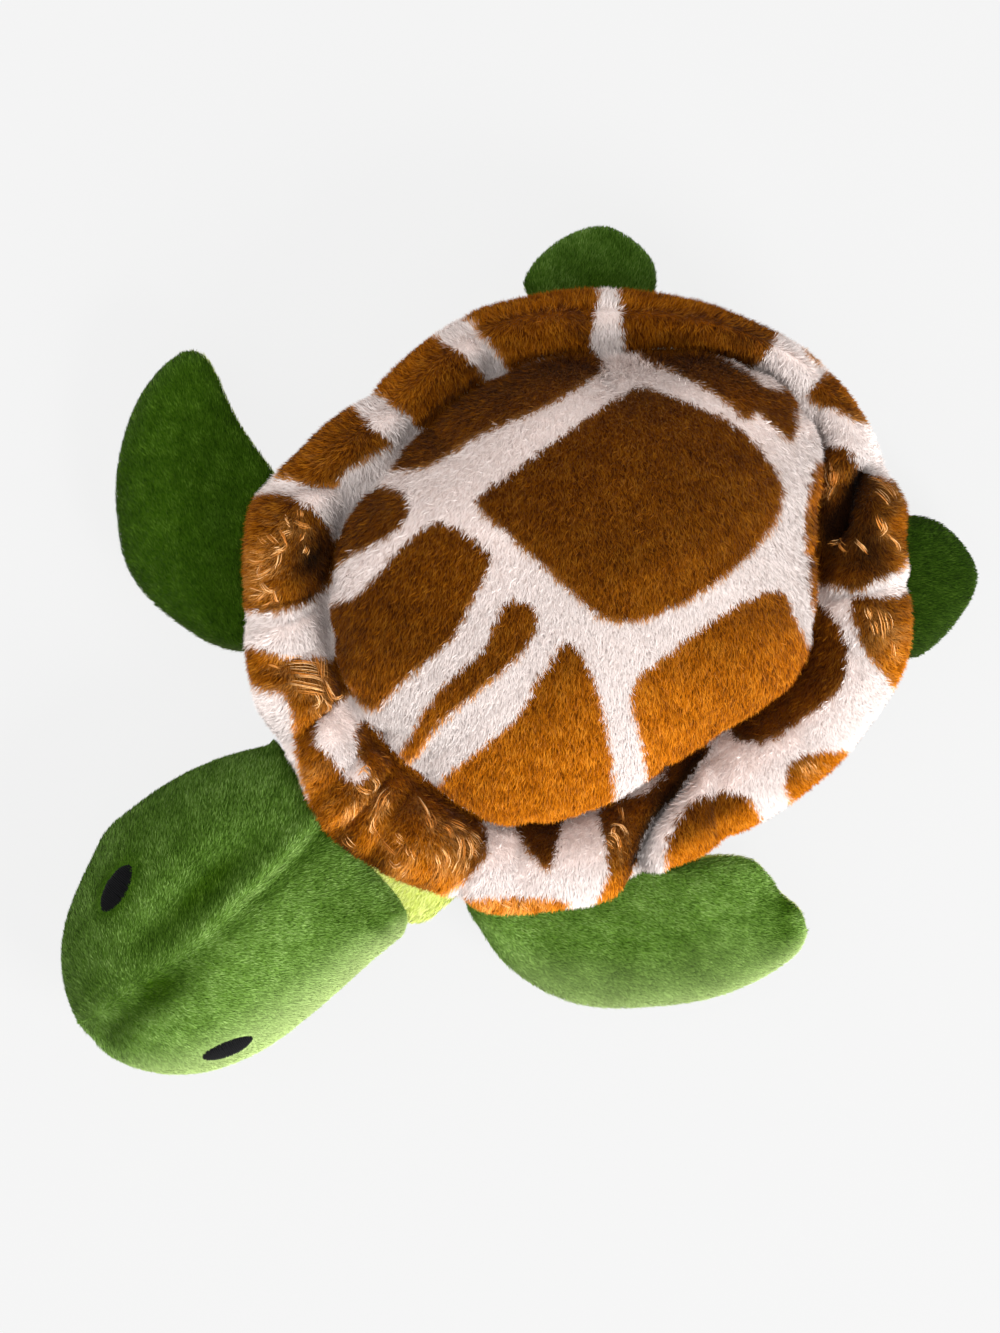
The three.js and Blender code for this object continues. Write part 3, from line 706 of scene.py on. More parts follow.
def group_tree(name, inputs, output):
    """A new node group, and the values that it is given."""
    tree = bpy.data.node_groups.new(name, "GeometryNodeTree")
    for socket, kind in inputs:
        tree.interface.new_socket(socket, in_out="INPUT", socket_type="NodeSocket" + kind)
    tree.interface.new_socket(output, in_out="OUTPUT", socket_type="NodeSocketGeometry")
    node = new_node(tree, "NodeGroupInput")
    return tree, {socket: Field(node, socket) for socket, _ in inputs}


def repeat_piece(tree, points, piece, turn, size, material):
    """Puts a piece on every point, joins all of them and sends them out of the group."""
    shape = new_node(tree, "GeometryNodeObjectInfo", {"Object": piece})
    laid = new_node(tree, "GeometryNodeInstanceOnPoints", {
        "Points": points, "Instance": Field(shape, "Geometry"), "Rotation": turn, "Scale": size})
    real = new_node(tree, "GeometryNodeRealizeInstances", {"Geometry": Field(laid)})
    finish = new_node(tree, "GeometryNodeSetMaterial", {"Geometry": Field(real), "Material": material})
    new_node(tree, "NodeGroupOutput", {0: Field(finish)})
    return tree


def turned_to(tree, first, first_axis, second, second_axis):
    node = new_node(tree, "FunctionNodeAxesToRotation", {"Primary Axis": first, "Secondary Axis": second},
                    primary_axis=first_axis, secondary_axis=second_axis)
    return Field(node)


def any_way(tree, seed, most):
    """A vector at random for each point."""
    return Arrow(new_node(tree, "FunctionNodeRandomValue", {"Seed": seed, "Min": (-most,) * 3, "Max": (most,) * 3},
                          data_type="FLOAT_VECTOR"))


def blade_shape():
    """One blade: a narrow diamond, bent over at its middle. Its size is one."""
    points = [(0, 0, 0), (-0.5, 0.06, BLADE_MIDDLE), (0.5, 0.06, BLADE_MIDDLE), (0, 0.34, 1)]
    piece = mesh_piece("blade", points, [(0, 2, 1), (1, 2, 3)], smooth=False, scale=1)
    write_floats(piece, along=[0, BLADE_MIDDLE, BLADE_MIDDLE, 1], across=[0, -1, 1, 0])
    return piece


PILE_INPUTS = [
    ("Cloth", "Geometry"), ("Density", "Float"), ("Length", "Float"), ("Width", "Float"), ("Lean", "Float"),
    ("Stray", "Float"), ("Tuft", "Float"), ("Tuft size", "Float"), ("Seed", "Int"), ("Blade", "Object"),
    ("Material", "Material"),
]


def pile_tree():
    tree, given = group_tree("pile", PILE_INPUTS, "Pile")
    seed = given["Seed"]
    spread = new_node(tree, "GeometryNodeDistributePointsOnFaces", {
        "Mesh": given["Cloth"], "Density": given["Density"] * attribute(tree, "thick"), "Seed": seed})
    facing = Arrow(spread, "Normal")
    place = Field(new_node(tree, "GeometryNodeInputPosition"))
    noise = new_node(tree, "ShaderNodeTexNoise", {"Vector": place, "Scale": given["Tuft size"], "Detail": 2.0})
    swirl = Arrow(noise, "Color") - (0.5, 0.5, 0.5)
    way = facing + attribute(tree, "comb", "FLOAT_VECTOR") * given["Lean"]
    way = way + swirl * given["Tuft"] + any_way(tree, seed, 1) * given["Stray"]
    # A blade that would grow back into the cloth is lifted out of it
    side = Field(new_node(tree, "ShaderNodeVectorMath", {0: way, 1: facing}, operation="DOT_PRODUCT"), "Value")
    way = (way + facing * (side * -1.0 + LEAST_RISE).maths("MAXIMUM", 0.0)).maths("NORMALIZE")
    level = way.maths("CROSS_PRODUCT", facing).maths("NORMALIZE") + any_way(tree, seed + 1.0, SPIN)
    tint = Field(new_node(tree, "FunctionNodeRandomValue", {"Seed": seed + 2.0}, data_type="FLOAT"), 1)
    length = given["Length"] * attribute(tree, "long") * (tint * 0.5 + 0.75)
    size = Field(new_node(tree, "ShaderNodeCombineXYZ", {"X": given["Width"], "Y": length, "Z": length}))
    points = Field(spread, "Points")
    for name, value, kind in (("tint", tint, "FLOAT"), ("root", place, "FLOAT_VECTOR")):
        points = Field(new_node(tree, "GeometryNodeStoreNamedAttribute",
                                {"Geometry": points, "Name": name, "Value": value}, data_type=kind, domain="POINT"))
    return repeat_piece(tree, points, given["Blade"], turned_to(tree, way, "Z", level, "X"), size, given["Material"])


def grown_mesh(bed, tree, name, values):
    """What a node group makes of a piece, as a plain mesh. The piece itself goes."""
    change = bed.modifiers.new("grown", "NODES")
    change.node_group = tree
    sockets = {item.name: item.identifier for item in tree.interface.items_tree if item.in_out == "INPUT"}
    for key, value in values.items():
        change[sockets[key]] = value
    mesh = bpy.data.meshes.new_from_object(bed.evaluated_get(bpy.context.evaluated_depsgraph_get()))
    mesh.name = name
    bpy.data.objects.remove(bed)
    return mesh


def part_of(cloth, name, keep):
    """A copy of the cloth with only the faces whose middle passes keep."""
    mesh = cloth.data.copy()
    mesh.name = name
    if keep:
        chosen = keep(read_all(mesh.polygons, "center") / MM)
        work = bmesh.new()
        work.from_mesh(mesh)
        work.faces.ensure_lookup_table()
        bmesh.ops.delete(work, geom=[work.faces[i] for i in np.flatnonzero(~chosen)], context="FACES")
        work.to_mesh(mesh)
        work.free()
    return link(name, mesh)


def grow(cloth, name, material, seed, keep=None, density=11.0, length=2.8, width=0.24, lean=1.0, stray=0.3,
         tuft=1.2, tuft_size=350.0, floor=None):
    """Grows pile on a cloth and returns it as a plain mesh of its own."""
    mesh = grown_mesh(part_of(cloth, name + "_bed", keep), PILE, name, {
        "Density": density * 1e6, "Length": length * MM, "Width": width * MM, "Lean": lean, "Stray": stray,
        "Tuft": tuft, "Tuft size": tuft_size, "Seed": seed, "Blade": BLADE, "Material": material,
    })
    if floor is not None:
        co = read_all(mesh.vertices, "co")
        co[:, 2] = np.maximum(co[:, 2], floor * MM)
        mesh.vertices.foreach_set("co", co.ravel())
    lay_out(mesh)
    return link(name, mesh)


# The map that a blade lies on: where it starts, how much of it is used, a blade's size on it
MAP_START, MAP_SHARE, MAP_ACROSS, MAP_ALONG = 0.01, 0.97, 0.0012, 0.0036


def lay_out(mesh):
    """A map on which each blade lies where its root is, seen from above or from the side."""
    root = read_all(mesh.attributes["root"].data, "vector")
    along, across = (read_all(mesh.attributes[name].data, "value", 1) for name in ("along", "across"))
    spans = np.ptp(root, axis=0)
    shown = np.argsort(-spans)[:2]
    flat = MAP_START + MAP_SHARE * ((root[:, shown] - root.min(0)[shown]) / np.maximum(spans[shown], 1e-9))
    flat[:, 0] += MAP_ACROSS * across
    flat[:, 1] += MAP_ALONG * along
    layer = mesh.uv_layers.new(name="OFBake", do_init=False)
    layer.uv.foreach_set("vector", flat[read_all(mesh.loops, "vertex_index", 1, np.int32)].astype(np.float32).ravel())


# Materials

def linear(colour):
    return tuple((c / 255 / 12.92) if c <= 10 else (((c / 255) + 0.055) / 1.055) ** 2.4 for c in colour) + (1.0,)


def read(tree, name, output="Fac"):
    return Field(new_node(tree, "ShaderNodeAttribute", attribute_name=name), output)


def plush(name, colour_of, on_blades=False, sheen=0.05, sheen_tint=(1, 1, 1), roughness=0.9, specular=0.05):
    """A material for cloth, pile or thread. Its colour is what colour_of makes in its node tree."""
    material = bpy.data.materials.new(name)
    material.use_nodes = True
    tree = material.node_tree
    shader = tree.nodes["Principled BSDF"]
    looks = {"Roughness": roughness, "Specular IOR Level": specular, "Sheen Weight": sheen,
             "Sheen Roughness": 0.4, "Sheen Tint": sheen_tint + (1,)}
    for key, value in looks.items():
        shader.inputs[key].default_value = value
    tree.links.new(colour_of(tree, on_blades).socket, shader.inputs["Base Color"])
    return material


def uneven(tree, scale, detail=3.0, where=None):
    """Noise over the piece, or one value for each strand where it reads its root's place."""
    place = read(tree, where, "Vector") if where else Field(new_node(tree, "ShaderNodeTexCoord"), "Object")
    return Field(new_node(tree, "ShaderNodeTexNoise", {"Vector": place, "Scale": scale, "Detail": detail}), "Fac")


BROWN_STOPS = [(0.0, (70, 31, 0)), (0.35, (126, 64, 0)), (0.7, (168, 93, 4)), (1.0, (206, 131, 34))]
WHITE_STOPS = [(0.0, (224, 211, 206)), (0.5, (232, 220, 215)), (1.0, (239, 229, 225))]
GREEN_STOPS = [(0.0, (42, 70, 12)), (0.4, (80, 112, 38)), (0.75, (108, 142, 64)), (1.0, (146, 176, 100))]
# A shaded copy of the green, for painted shade, and the pale green of painted sheen
SHADED_GREEN_STOPS = [(0.0, (26, 50, 0)), (0.4, (48, 80, 4)), (0.75, (64, 98, 14)), (1.0, (96, 132, 40))]
SHEEN_GREEN = (184, 202, 134)
LIME_STOPS = [(0.0, (180, 196, 76)), (0.5, (210, 221, 112)), (1.0, (230, 236, 152))]
FRINGE = (238, 164, 82)
PARTING = (236, 168, 88)
STRAND_STOPS = [(0.0, (176, 100, 30)), (0.6, (216, 148, 76)), (1.0, (240, 192, 134))]
FLECK = (186, 114, 46)
# How fast a thread's bands follow each other
THREAD_TWIST = 3.0


def tint_of(tree, on_blades, scale):
    """Each strand's own value; a cloth under the pile has noise instead."""
    return read(tree, "tint") if on_blades else uneven(tree, scale)


def fibre(tree, stops, tint):
    """A strand's colour: its own shade, and uneven over the cloth."""
    return (tint * 0.75 + uneven(tree, 240.0) * 0.7 - 0.24).ramp(stops)


# Darker towards the root: painted shade deep in the pile
def root_shade(tree, at_root, at_tip):
    return read(tree, "along").ranged(0.0, 1.0, at_root, at_tip)


def printed(tree, on_blades):
    """White plush with brown patches, whose edges are ragged and fringed with orange."""
    depth, tint = read(tree, "print"), tint_of(tree, on_blades, 700.0)
    jump = tint.fract(37.7) if on_blades else uneven(tree, 500.0)
    teeth = uneven(tree, 620.0, 1.0, "root" if on_blades else None)
    ragged = depth + (jump - 0.5) + (teeth - 0.5) * 2.4
    fringe = depth.ranged(1.5, 0.0) * read(tree, "fringed").ranged(0.0, 1.0, 0.35, 1.1)
    brown = fibre(tree, BROWN_STOPS, tint).mixed(fringe * jump.ranged(0.0, 0.7, 0.3, 1.0), linear(FRINGE))
    # Where the brim's nap parts, pale lines show between the tufts
    lines = (uneven(tree, 560.0, 2.0, "grain") - 0.5).maths("ABSOLUTE").ranged(0.045, 0.012) * read(tree, "parted")
    lines = lines * uneven(tree, 230.0, 2.0, "grain").ranged(0.42, 0.56)
    some = tint.fract(53.3).ranged(0.25, 0.8, 0.0, 0.85)
    brown = brown.mixed(lines, linear(PARTING)).mixed(some * read(tree, "traced"), linear(PARTING))
    if on_blades:
        brown = brown.mixed(tint.fract(91.3).ranged(0.9, 0.96, 0.0, 0.6), linear(FLECK))
    # The shade and white attributes are painted light and shade: they set how light the brown and the white are
    brown_level, white_level = read(tree, "shade").ranged(-0.7, 1.15, 0.04, 1.54), read(tree, "white")
    if on_blades:
        brown_level = brown_level * root_shade(tree, 0.4, 1.05)
        white_level = white_level * root_shade(tree, 0.82, 1.05)
    brown, white = brown.levelled(brown_level), fibre(tree, WHITE_STOPS, tint).levelled(white_level)
    return white.mixed(ragged.ranged(-0.25, 0.25), brown)


def two_tone(tree, on_blades):
    """Green plush above a seam and lime below it, by the print attribute: 0 green, 1 lime.
    Its green carries painted light and shade by shade, which blends it from a shaded copy of the green to the lit
    one, and painted sheen by pale."""
    tint, shade = tint_of(tree, on_blades, 600.0), read(tree, "shade")
    deep, light, lime = (fibre(tree, stops, tint) for stops in (SHADED_GREEN_STOPS, GREEN_STOPS, LIME_STOPS))
    # Painted light and shade: shade blends the green from its shaded copy to the lit one and sets how light it is;
    # pale adds painted sheen
    green = deep.mixed(shade.ranged(0.0, 1.0), light).mixed(read(tree, "pale"), linear(SHEEN_GREEN))
    level = shade.ranged(-0.3, 1.6, 0.8, 1.35) * shade.ranged(-1.0, -0.3, 0.6, 1.0)
    if on_blades:
        level = level * root_shade(tree, 0.6, 1.05)
        lime = lime.levelled(root_shade(tree, 0.75, 1.02))
    return green.levelled(level).mixed(read(tree, "print").ranged(0.35, 0.65), lime)


def plain_lime(tree, on_blades):
    colour = fibre(tree, LIME_STOPS, tint_of(tree, on_blades, 260.0))
    return colour.levelled(root_shade(tree, 0.7, 1.03)) if on_blades else colour


def green_plush(name, on_blades=False):
    return plush(name, two_tone, on_blades, sheen=0.12, sheen_tint=(0.85, 1.0, 0.5))


def lime_plush(name, on_blades=False):
    return plush(name, plain_lime, on_blades, sheen=0.15)


def bare_strands(tree, on_blades):
    # Darker at both ends, where the strand dips into the pile: painted shade
    return read(tree, "tint").ramp(STRAND_STOPS).levelled(read(tree, "along").ranged(0.0, 0.8, 0.55, 1.1))


def spun(dark, light):
    """Thread: fine bands of light and dark round its own length."""
    def colour(tree, on_blades):
        bands = (read(tree, "run") * THREAD_TWIST).maths("SINE")
        return (bands * 0.35 + uneven(tree, 900.0)).ramp([(0.25, dark), (0.95, light)])
    return colour


def dressed(piece, material):
    piece.data.materials.clear()
    piece.data.materials.append(material)
    return piece


def combed_along(piece, way):
    """Writes the comb: the given ways, laid flat on the cloth."""
    facing = facings(piece)
    way = np.broadcast_to(np.asarray(way, float), facing.shape)
    write_vectors(piece, comb=unit(way - facing * (way * facing).sum(1, keepdims=True), 0.3))


# The way that the dome's nap leans, and the lit side, towards which brown and green nap are painted lighter: painted
# light and shade, partly the nap's look
NAP = np.array([0.773, -0.634, 0.0])
PAINTED_LIGHT_WAY = np.array([0.93, -0.37, 0.0])


def facing_shade(piece, lay):
    """0 to 1: painted light and shade by facing, higher where the cloth faces lay. It stands partly for the nap,
    which looks lighter where it lies down the slope, and partly for the lit side.
    """
    return smooth(-0.02, 0.6, (facings(piece) * lay).sum(1))


# The side on which green nap is painted pale: a painted sheen on the lit side's edges
SHEEN_SIDE = np.array([0.96, -0.1, -0.25])


# Painted sheen: how pale the green nap is painted, by facing
def painted_sheen(piece, most, start):
    return most * smooth(start, 0.95, facings(piece) @ SHEEN_SIDE)


# Shell

# Places where the nap is parted: a pixel, the half width in millimetres, the strength
PARTED = [
    (266, 562, 8, 1), (302, 520, 6, 0.5), (292, 662, 8, 1), (332, 688, 5, 0.8), (300, 770, 6, 0.5),
    (362, 802, 7, 0.9), (452, 834, 8, 0.9), (398, 878, 6, 0.5), (836, 480, 4, 1), (872, 542, 6, 0.25),
    (846, 564, 4, 0.2), (300, 450, 6, 0.4), (616, 842, 4, 0.9), (880, 622, 6, 0.6), (862, 412, 5, 0.7),
    (500, 902, 8, 0.5), (590, 860, 4, 0.6), (820, 764, 6, 0.5),
]
# Stretches of the brim painted lighter or darker, as painted light and shade: angle and spread in degrees, change of
# shade
BRIM_PAINTED_SHADES = [(60, 15, -0.3), (290, 24, 0.5), (328, 12, 0.25), (112, 16, -0.1)]


# Spots of painted shade and painted light on the shell: a pixel, the half width in millimetres, the change of shade
SHELL_PAINTED_SHADES = [
    (730, 680, 12, -0.34), (715, 830, 8, -0.15), (540, 795, 14, -0.18), (550, 320, 14, 0.2), (340, 850, 6, -2.2),
    (376, 872, 6, -2.2), (418, 892, 5, -1.8), (812, 520, 5, -0.35), (400, 382, 10, 0.2), (735, 394, 6, 0.35),
    (400, 620, 12, -0.12), (745, 362, 7, -0.35), (310, 556, 6, -0.45), (262, 560, 6, 0.3), (700, 312, 9, 0.15),
    (832, 482, 4, 0.4), (300, 586, 4, -0.35), (780, 375, 6, 0.3), (300, 680, 9, 0.25), (400, 840, 9, 0.2),
    (620, 862, 6, -0.15), (884, 546, 9, -0.35), (300, 760, 7, 0.3), (455, 820, 5, -0.45), (500, 840, 5, -0.5),
    (550, 843, 5, -0.5), (598, 832, 5, -0.5), (664, 796, 4.5, -0.5), (700, 766, 4.5, -0.5), (738, 742, 4.5, -0.4),
]


# How far back along the nap a patch's edge is fringed, and how wide a traced strand tints the nap
FRINGE_REACH, TRACED_WIDTH = 1.5, 0.9
# The darkest and the lightest painted shade of the brown nap; the deepest folds are painted down to the darkest
DARKEST, LIGHTEST = -0.72, 1.15
# The shell's pile is grown in wedges, so that no piece grows too large
SHELL_PILE_PARTS = 5
SHELL_PILE = dict(lean=0.8, stray=0.4, length=2.15, tuft=1.4, tuft_size=560.0)


def shell_nap_and_shade(cloth, rows):
    """Writes what the shell's cloth says about its print, its nap and its painted light and shade at each point."""
    around = rows.shape[1]
    place = places(cloth)
    turns = np.repeat(rim_turns(2), around)
    first = len(place) - 1 - len(turns)

    def on_rim(values, elsewhere=0.0):
        """Values of the brim's points, and one value on the dome."""
        out = np.full(len(place), elsewhere)
        out[first:-1] = values
        return out

    rim = place[first:-1]
    outer, inner = on_rim(smooth(110, 40, turns)), on_rim(smooth(55, 120, turns))
    angle = np.tile(np.arange(around) / around * 360, len(turns) // around)
    # Painted shade and light, stretch by stretch round the brim and in spots
    painted_tone = np.zeros(len(turns))
    for at, spread, change in BRIM_PAINTED_SHADES:
        painted_tone += change * bump(turn_gap(angle, at), spread)
    painted_tone = on_rim(painted_tone) + spots(place, SHELL_PAINTED_SHADES)
    depth, ahead = shell_print(rows), shell_print(rows + NAP * FRINGE_REACH)
    seen = seen_at(rim)
    traced = sum(bump(seen_gap(seen, line), TRACED_WIDTH) for line in STRANDS) * smooth(-30, 10, turns)
    folded = on_rim(np.clip(fold_depth(rim), 0, 1) * smooth(-25, 20, turns))
    thick = on_rim(np.where(turns < -20, 0.55, np.where(turns > 130, 0.6, 1.0)), 1.0)
    # nap and side hold painted light and shade by facing. The brown is painted lighter where it faces the lit side
    # and on the brim's outer side, darker on the brim's inner slopes and in the deep folds
    nap, side = facing_shade(cloth, PAINTED_LIGHT_WAY), facings(cloth) @ PAINTED_LIGHT_WAY
    shade = mix(nap, 1, 0.3 * outer) + 0.08 * wavy(place, 26, 9) + painted_tone - 0.9 * inner * smooth(-0.1, 0.4, side)
    # The white is painted lighter where it faces away from the light and darker where it faces it: painted light and
    # shade
    on_dome = mix(1.22, 0.96, smooth(-0.35, 0.02, side)) * mix(1, 0.88, smooth(0.05, 0.5, side))
    on_brim = 0.965 * (mix(1.13, 0.89, smooth(0, 0.55, nap)) + 0.08 * (1 - nap))
    write_floats(
        cloth, print=depth, fringed=smooth(0.1, 0.9, (depth - ahead) / FRINGE_REACH),
        parted=np.clip(on_rim(spots(rim, PARTED) * smooth(150, 110, turns) * smooth(-30, 10, turns)), 0, 1),
        traced=np.clip(0.6 * on_rim(traced), 0, 0.85),
        thick=thick * (1 - 0.5 * folded), long=(1 + 0.15 * wavy(place, 30, 5)) * (1 - 0.65 * folded),
        white=mix(on_dome, on_brim, outer) * (1 - 0.65 * folded),
        shade=np.clip(shade * (1 - folded) + DARKEST * folded, DARKEST, LIGHTEST))
    combed_along(cloth, NAP * (1 - outer[:, None]) + (unit(place * [1, 1, 0]) + NAP * 0.3) * outer[:, None])
    reach, turn = np.linalg.norm(place[:, :2], axis=1), np.arctan2(place[:, 1], place[:, 0])
    write_vectors(cloth, grain=np.stack([turn * 80, 0.2 * (reach + place[:, 2]), 0 * turn], 1) * MM)


def make_shell():
    cloth, rows = shell_cloth()
    shell_nap_and_shade(cloth, rows)
    dressed(cloth, plush("printed_cloth", printed))
    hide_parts("shell_dome_cover", "shell_rim_cover", "rim_lining", "rim_fill", "body_fill")
    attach(cloth, "body")
    strands = plush("printed_pile", printed, True)
    for part in range(SHELL_PILE_PARTS):
        def keep(middles, part=part):
            turn = np.arctan2(middles[:, 1] - DOME_MIDDLE[1], middles[:, 0] - DOME_MIDDLE[0]) % TURN
            return (turn // (TURN / SHELL_PILE_PARTS)).astype(int) == part
        pile = grow(cloth, f"shell_pile_{part + 1}", strands, seed=21 + part, keep=keep, **SHELL_PILE)
        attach(pile, "body")
    make_strands(cloth)


# Pale strands that lie bare where the nap parts, traced in the photograph's pixels, x and y in turn
STRANDS = [
    (281, 529, 287, 538, 288, 546), (284, 536, 292, 532), (288, 545, 280, 552, 272, 556),
    (280, 552, 279, 562, 275, 569), (275, 568, 266, 574, 258, 577), (266, 560, 262, 568, 262, 577),
    (262, 575, 255, 580, 248, 581), (262, 580, 268, 588, 275, 590), (275, 588, 277, 597, 280, 604),
    (268, 590, 262, 596, 258, 600), (276, 600, 270, 605, 264, 606), (250, 586, 258, 588, 266, 590),
    (247, 575, 255, 574, 262, 572), (249, 596, 256, 594, 262, 593), (300, 510, 300, 517),
    (297, 522, 304, 527, 311, 527), (286, 520, 290, 526), (303, 533, 300, 540), (306, 545, 303, 552),
    (270, 534, 276, 540, 280, 545), (262, 540, 268, 545), (252, 560, 260, 562, 268, 561),
    (250, 550, 258, 551, 268, 553), (283, 549, 276, 551), (312, 654, 316, 668, 320, 680),
    (319, 655, 320, 668, 321, 682), (321, 680, 325, 692, 332, 698), (320, 676, 306, 674, 288, 670),
    (321, 682, 308, 678, 294, 676), (322, 690, 308, 686, 288, 682), (323, 694, 310, 692, 296, 690),
    (318, 668, 304, 664, 284, 664), (300, 658, 290, 655, 276, 652), (314, 692, 318, 700, 313, 706),
    (322, 698, 326, 706, 322, 714), (316, 712, 320, 720), (330, 696, 342, 694), (270, 664, 282, 668),
    (357, 775, 364, 770, 370, 775), (370, 776, 373, 784, 370, 791), (370, 791, 362, 792, 355, 786),
    (355, 798, 351, 810, 350, 821), (349, 806, 346, 818), (346, 833, 351, 839, 356, 844),
    (388, 790, 380, 800, 374, 812), (384, 798, 380, 806), (386, 800, 383, 808), (378, 810, 372, 822, 376, 830),
    (416, 799, 423, 811, 428, 820), (424, 812, 429, 822, 431, 829), (384, 838, 392, 846, 398, 852),
    (410, 846, 414, 856), (398, 835, 404, 842), (390, 858, 396, 864, 404, 862), (410, 868, 404, 874),
    (440, 825, 446, 830, 450, 838), (446, 822, 456, 828, 466, 832), (452, 834, 456, 846, 456, 858),
    (459, 836, 462, 848, 461, 862), (463, 835, 467, 848, 466, 860), (468, 836, 474, 848, 482, 852),
    (470, 832, 478, 840, 484, 848), (455, 862, 452, 870), (462, 864, 458, 874), (468, 862, 466, 872),
    (474, 852, 480, 858), (440, 846, 446, 856, 444, 866), (434, 852, 438, 864), (832, 461, 835, 472, 833, 484),
    (828, 466, 831, 476, 832, 486), (834, 482, 831, 492, 828, 500), (838, 466, 837, 476, 834, 488),
    (826, 484, 829, 492), (870, 480, 882, 486, 890, 494), (876, 486, 886, 492, 894, 501),
    (882, 484, 890, 491, 896, 500), (874, 492, 882, 500, 888, 508), (876, 514, 878, 522, 882, 530),
    (880, 518, 881, 526, 878, 534), (838, 541, 844, 545, 848, 550), (856, 541, 862, 546, 866, 552),
    (830, 542, 838, 540), (884, 532, 892, 542, 896, 552), (612, 826, 620, 826, 626, 834),
    (608, 834, 615, 836, 620, 844), (614, 828, 612, 836), (606, 842, 612, 846), (618, 840, 620, 850),
    (622, 810, 623, 820), (856, 394, 862, 404, 868, 412), (852, 398, 856, 408), (876, 608, 880, 624, 882, 640),
    (884, 612, 888, 630), (872, 620, 876, 634), (890, 640, 892, 656), (866, 606, 870, 618), (806, 760, 812, 768),
    (800, 764, 804, 774), (480, 900, 490, 904), (500, 898, 512, 904), (520, 900, 530, 906), (536, 898, 548, 904),
    (508, 906, 520, 910),
]
STRAND_STEPS, STRAND_COPIES = 7, 6


def under_pixels(tree, pixels):
    """The places and the facings of a piece under some of the photograph's pixels."""
    found = []
    for x, y in pixels:
        across = (x - IMAGE_WIDTH / 2) / PIXELS_PER_MM / VIEW_DISTANCE
        down = (IMAGE_HEIGHT / 2 - y) / PIXELS_PER_MM / VIEW_DISTANCE
        ray = -view_back + across * view_right + down * view_up
        place, facing, _, _ = tree.ray_cast(Vector(view_place * MM), Vector(ray).normalized())
        if place is not None:
            found.append((np.array(place) / MM, np.array(facing)))
    return [np.array(values) for values in zip(*found)] or [[], []]


def make_strands(cloth):
    tree = BVHTree.FromObject(cloth, bpy.context.evaluated_depsgraph_get())
    draw = np.random.default_rng(5)
    points, faces, along, tint = [], [], [], []
    share = np.linspace(0, 1, STRAND_STEPS)
    rise = np.sin(share * math.pi)
    for line in STRANDS:
        line = np.reshape(line, (-1, 2)).astype(float)
        at = np.linspace(0, 1, len(line))
        for _ in range(STRAND_COPIES):
            bent = np.stack([curve_through(at, line[:, k], share) for k in (0, 1)], -1)
            bent += draw.normal(0, 1.5, 2) + draw.uniform(-1.3, 1.3, 2) * rise[:, None]
            place, facing = under_pixels(tree, bent)
            # A strand that would reach past the brim's outline is left out
            if len(place) < STRAND_STEPS:
                continue
            side = unit(np.cross(facing, np.gradient(place, axis=0)))
            place = place + facing * (0.6 + draw.uniform(0.5, 0.95) * np.sqrt(rise))[:, None]
            half = side * (0.02 + 0.055 * np.sqrt(rise))[:, None]
            base = len(points) * 2 * STRAND_STEPS
            points.append(np.concatenate([place - half, place + half]))
            for i in range(base, base + STRAND_STEPS - 1):
                faces.append((i, i + 1, i + STRAND_STEPS + 1, i + STRAND_STEPS))
            along.append(np.tile(rise, 2))
            tint.append(np.full(2 * STRAND_STEPS, draw.uniform()))
    piece = mesh_piece("parted_strands", np.vstack(points), faces, smooth=False)
    write_floats(piece, along=np.concatenate(along), tint=np.concatenate(tint))
    dressed(piece, plush("parted_strands", bare_strands))
    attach(piece, "body")


# The crease's thread: points along it, points round it, plies, their turns and their radius
THREAD_STEPS, THREAD_SIDES, THREAD_PLIES, THREAD_WINDS, THREAD_RADIUS = 900, 6, 2, 170, 0.45


def make_crease_thread():
    """The drawn thread at the bottom of the crease: two plies wound round each other in a ring."""
    run = np.arange(THREAD_STEPS) / THREAD_STEPS
    line = slice_point(run * TURN, np.full(THREAD_STEPS, CREASE_REACH), CREASE_HEIGHT + 0.2)
    ahead = unit(np.roll(line, -1, 0) - np.roll(line, 1, 0))
    side = unit(np.cross(ahead, [0, 0, 1.0]))
    up = np.cross(side, ahead)
    turn = np.arange(THREAD_SIDES) / THREAD_SIDES * TURN
    points, faces = [], []
    for ply in range(THREAD_PLIES):
        wind = TURN * (run * THREAD_WINDS + ply / THREAD_PLIES)
        middle = line + (side * np.cos(wind)[:, None] + up * np.sin(wind)[:, None]) * (THREAD_RADIUS * 0.5)
        rings = middle[:, None] + THREAD_RADIUS * 0.62 * (side[:, None] * np.cos(turn)[None, :, None]
                                                          + up[:, None] * np.sin(turn)[None, :, None])
        base = len(points) * THREAD_SIDES * THREAD_STEPS
        points.append(rings.reshape(-1, 3))
        for i in range(THREAD_STEPS):
            here, there = base + i * THREAD_SIDES, base + (i + 1) % THREAD_STEPS * THREAD_SIDES
            for k in range(THREAD_SIDES):
                n = (k + 1) % THREAD_SIDES
                faces.append((here + k, here + n, there + n, there + k))
    thread = turned_out(mesh_piece("crease_thread_twist", np.vstack(points), faces))
    write_floats(thread, run=np.tile(np.repeat(run * THREAD_STEPS, THREAD_SIDES), THREAD_PLIES))
    dressed(thread, SEWING_THREAD)
    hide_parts("crease_thread")
    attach(thread, "body")


def seam_height():
    return RIM_HEIGHT + RIM_DROP * math.sin(RIM_END * DEGREE) - SEAM_GAP


BELLY_ROWS = 22


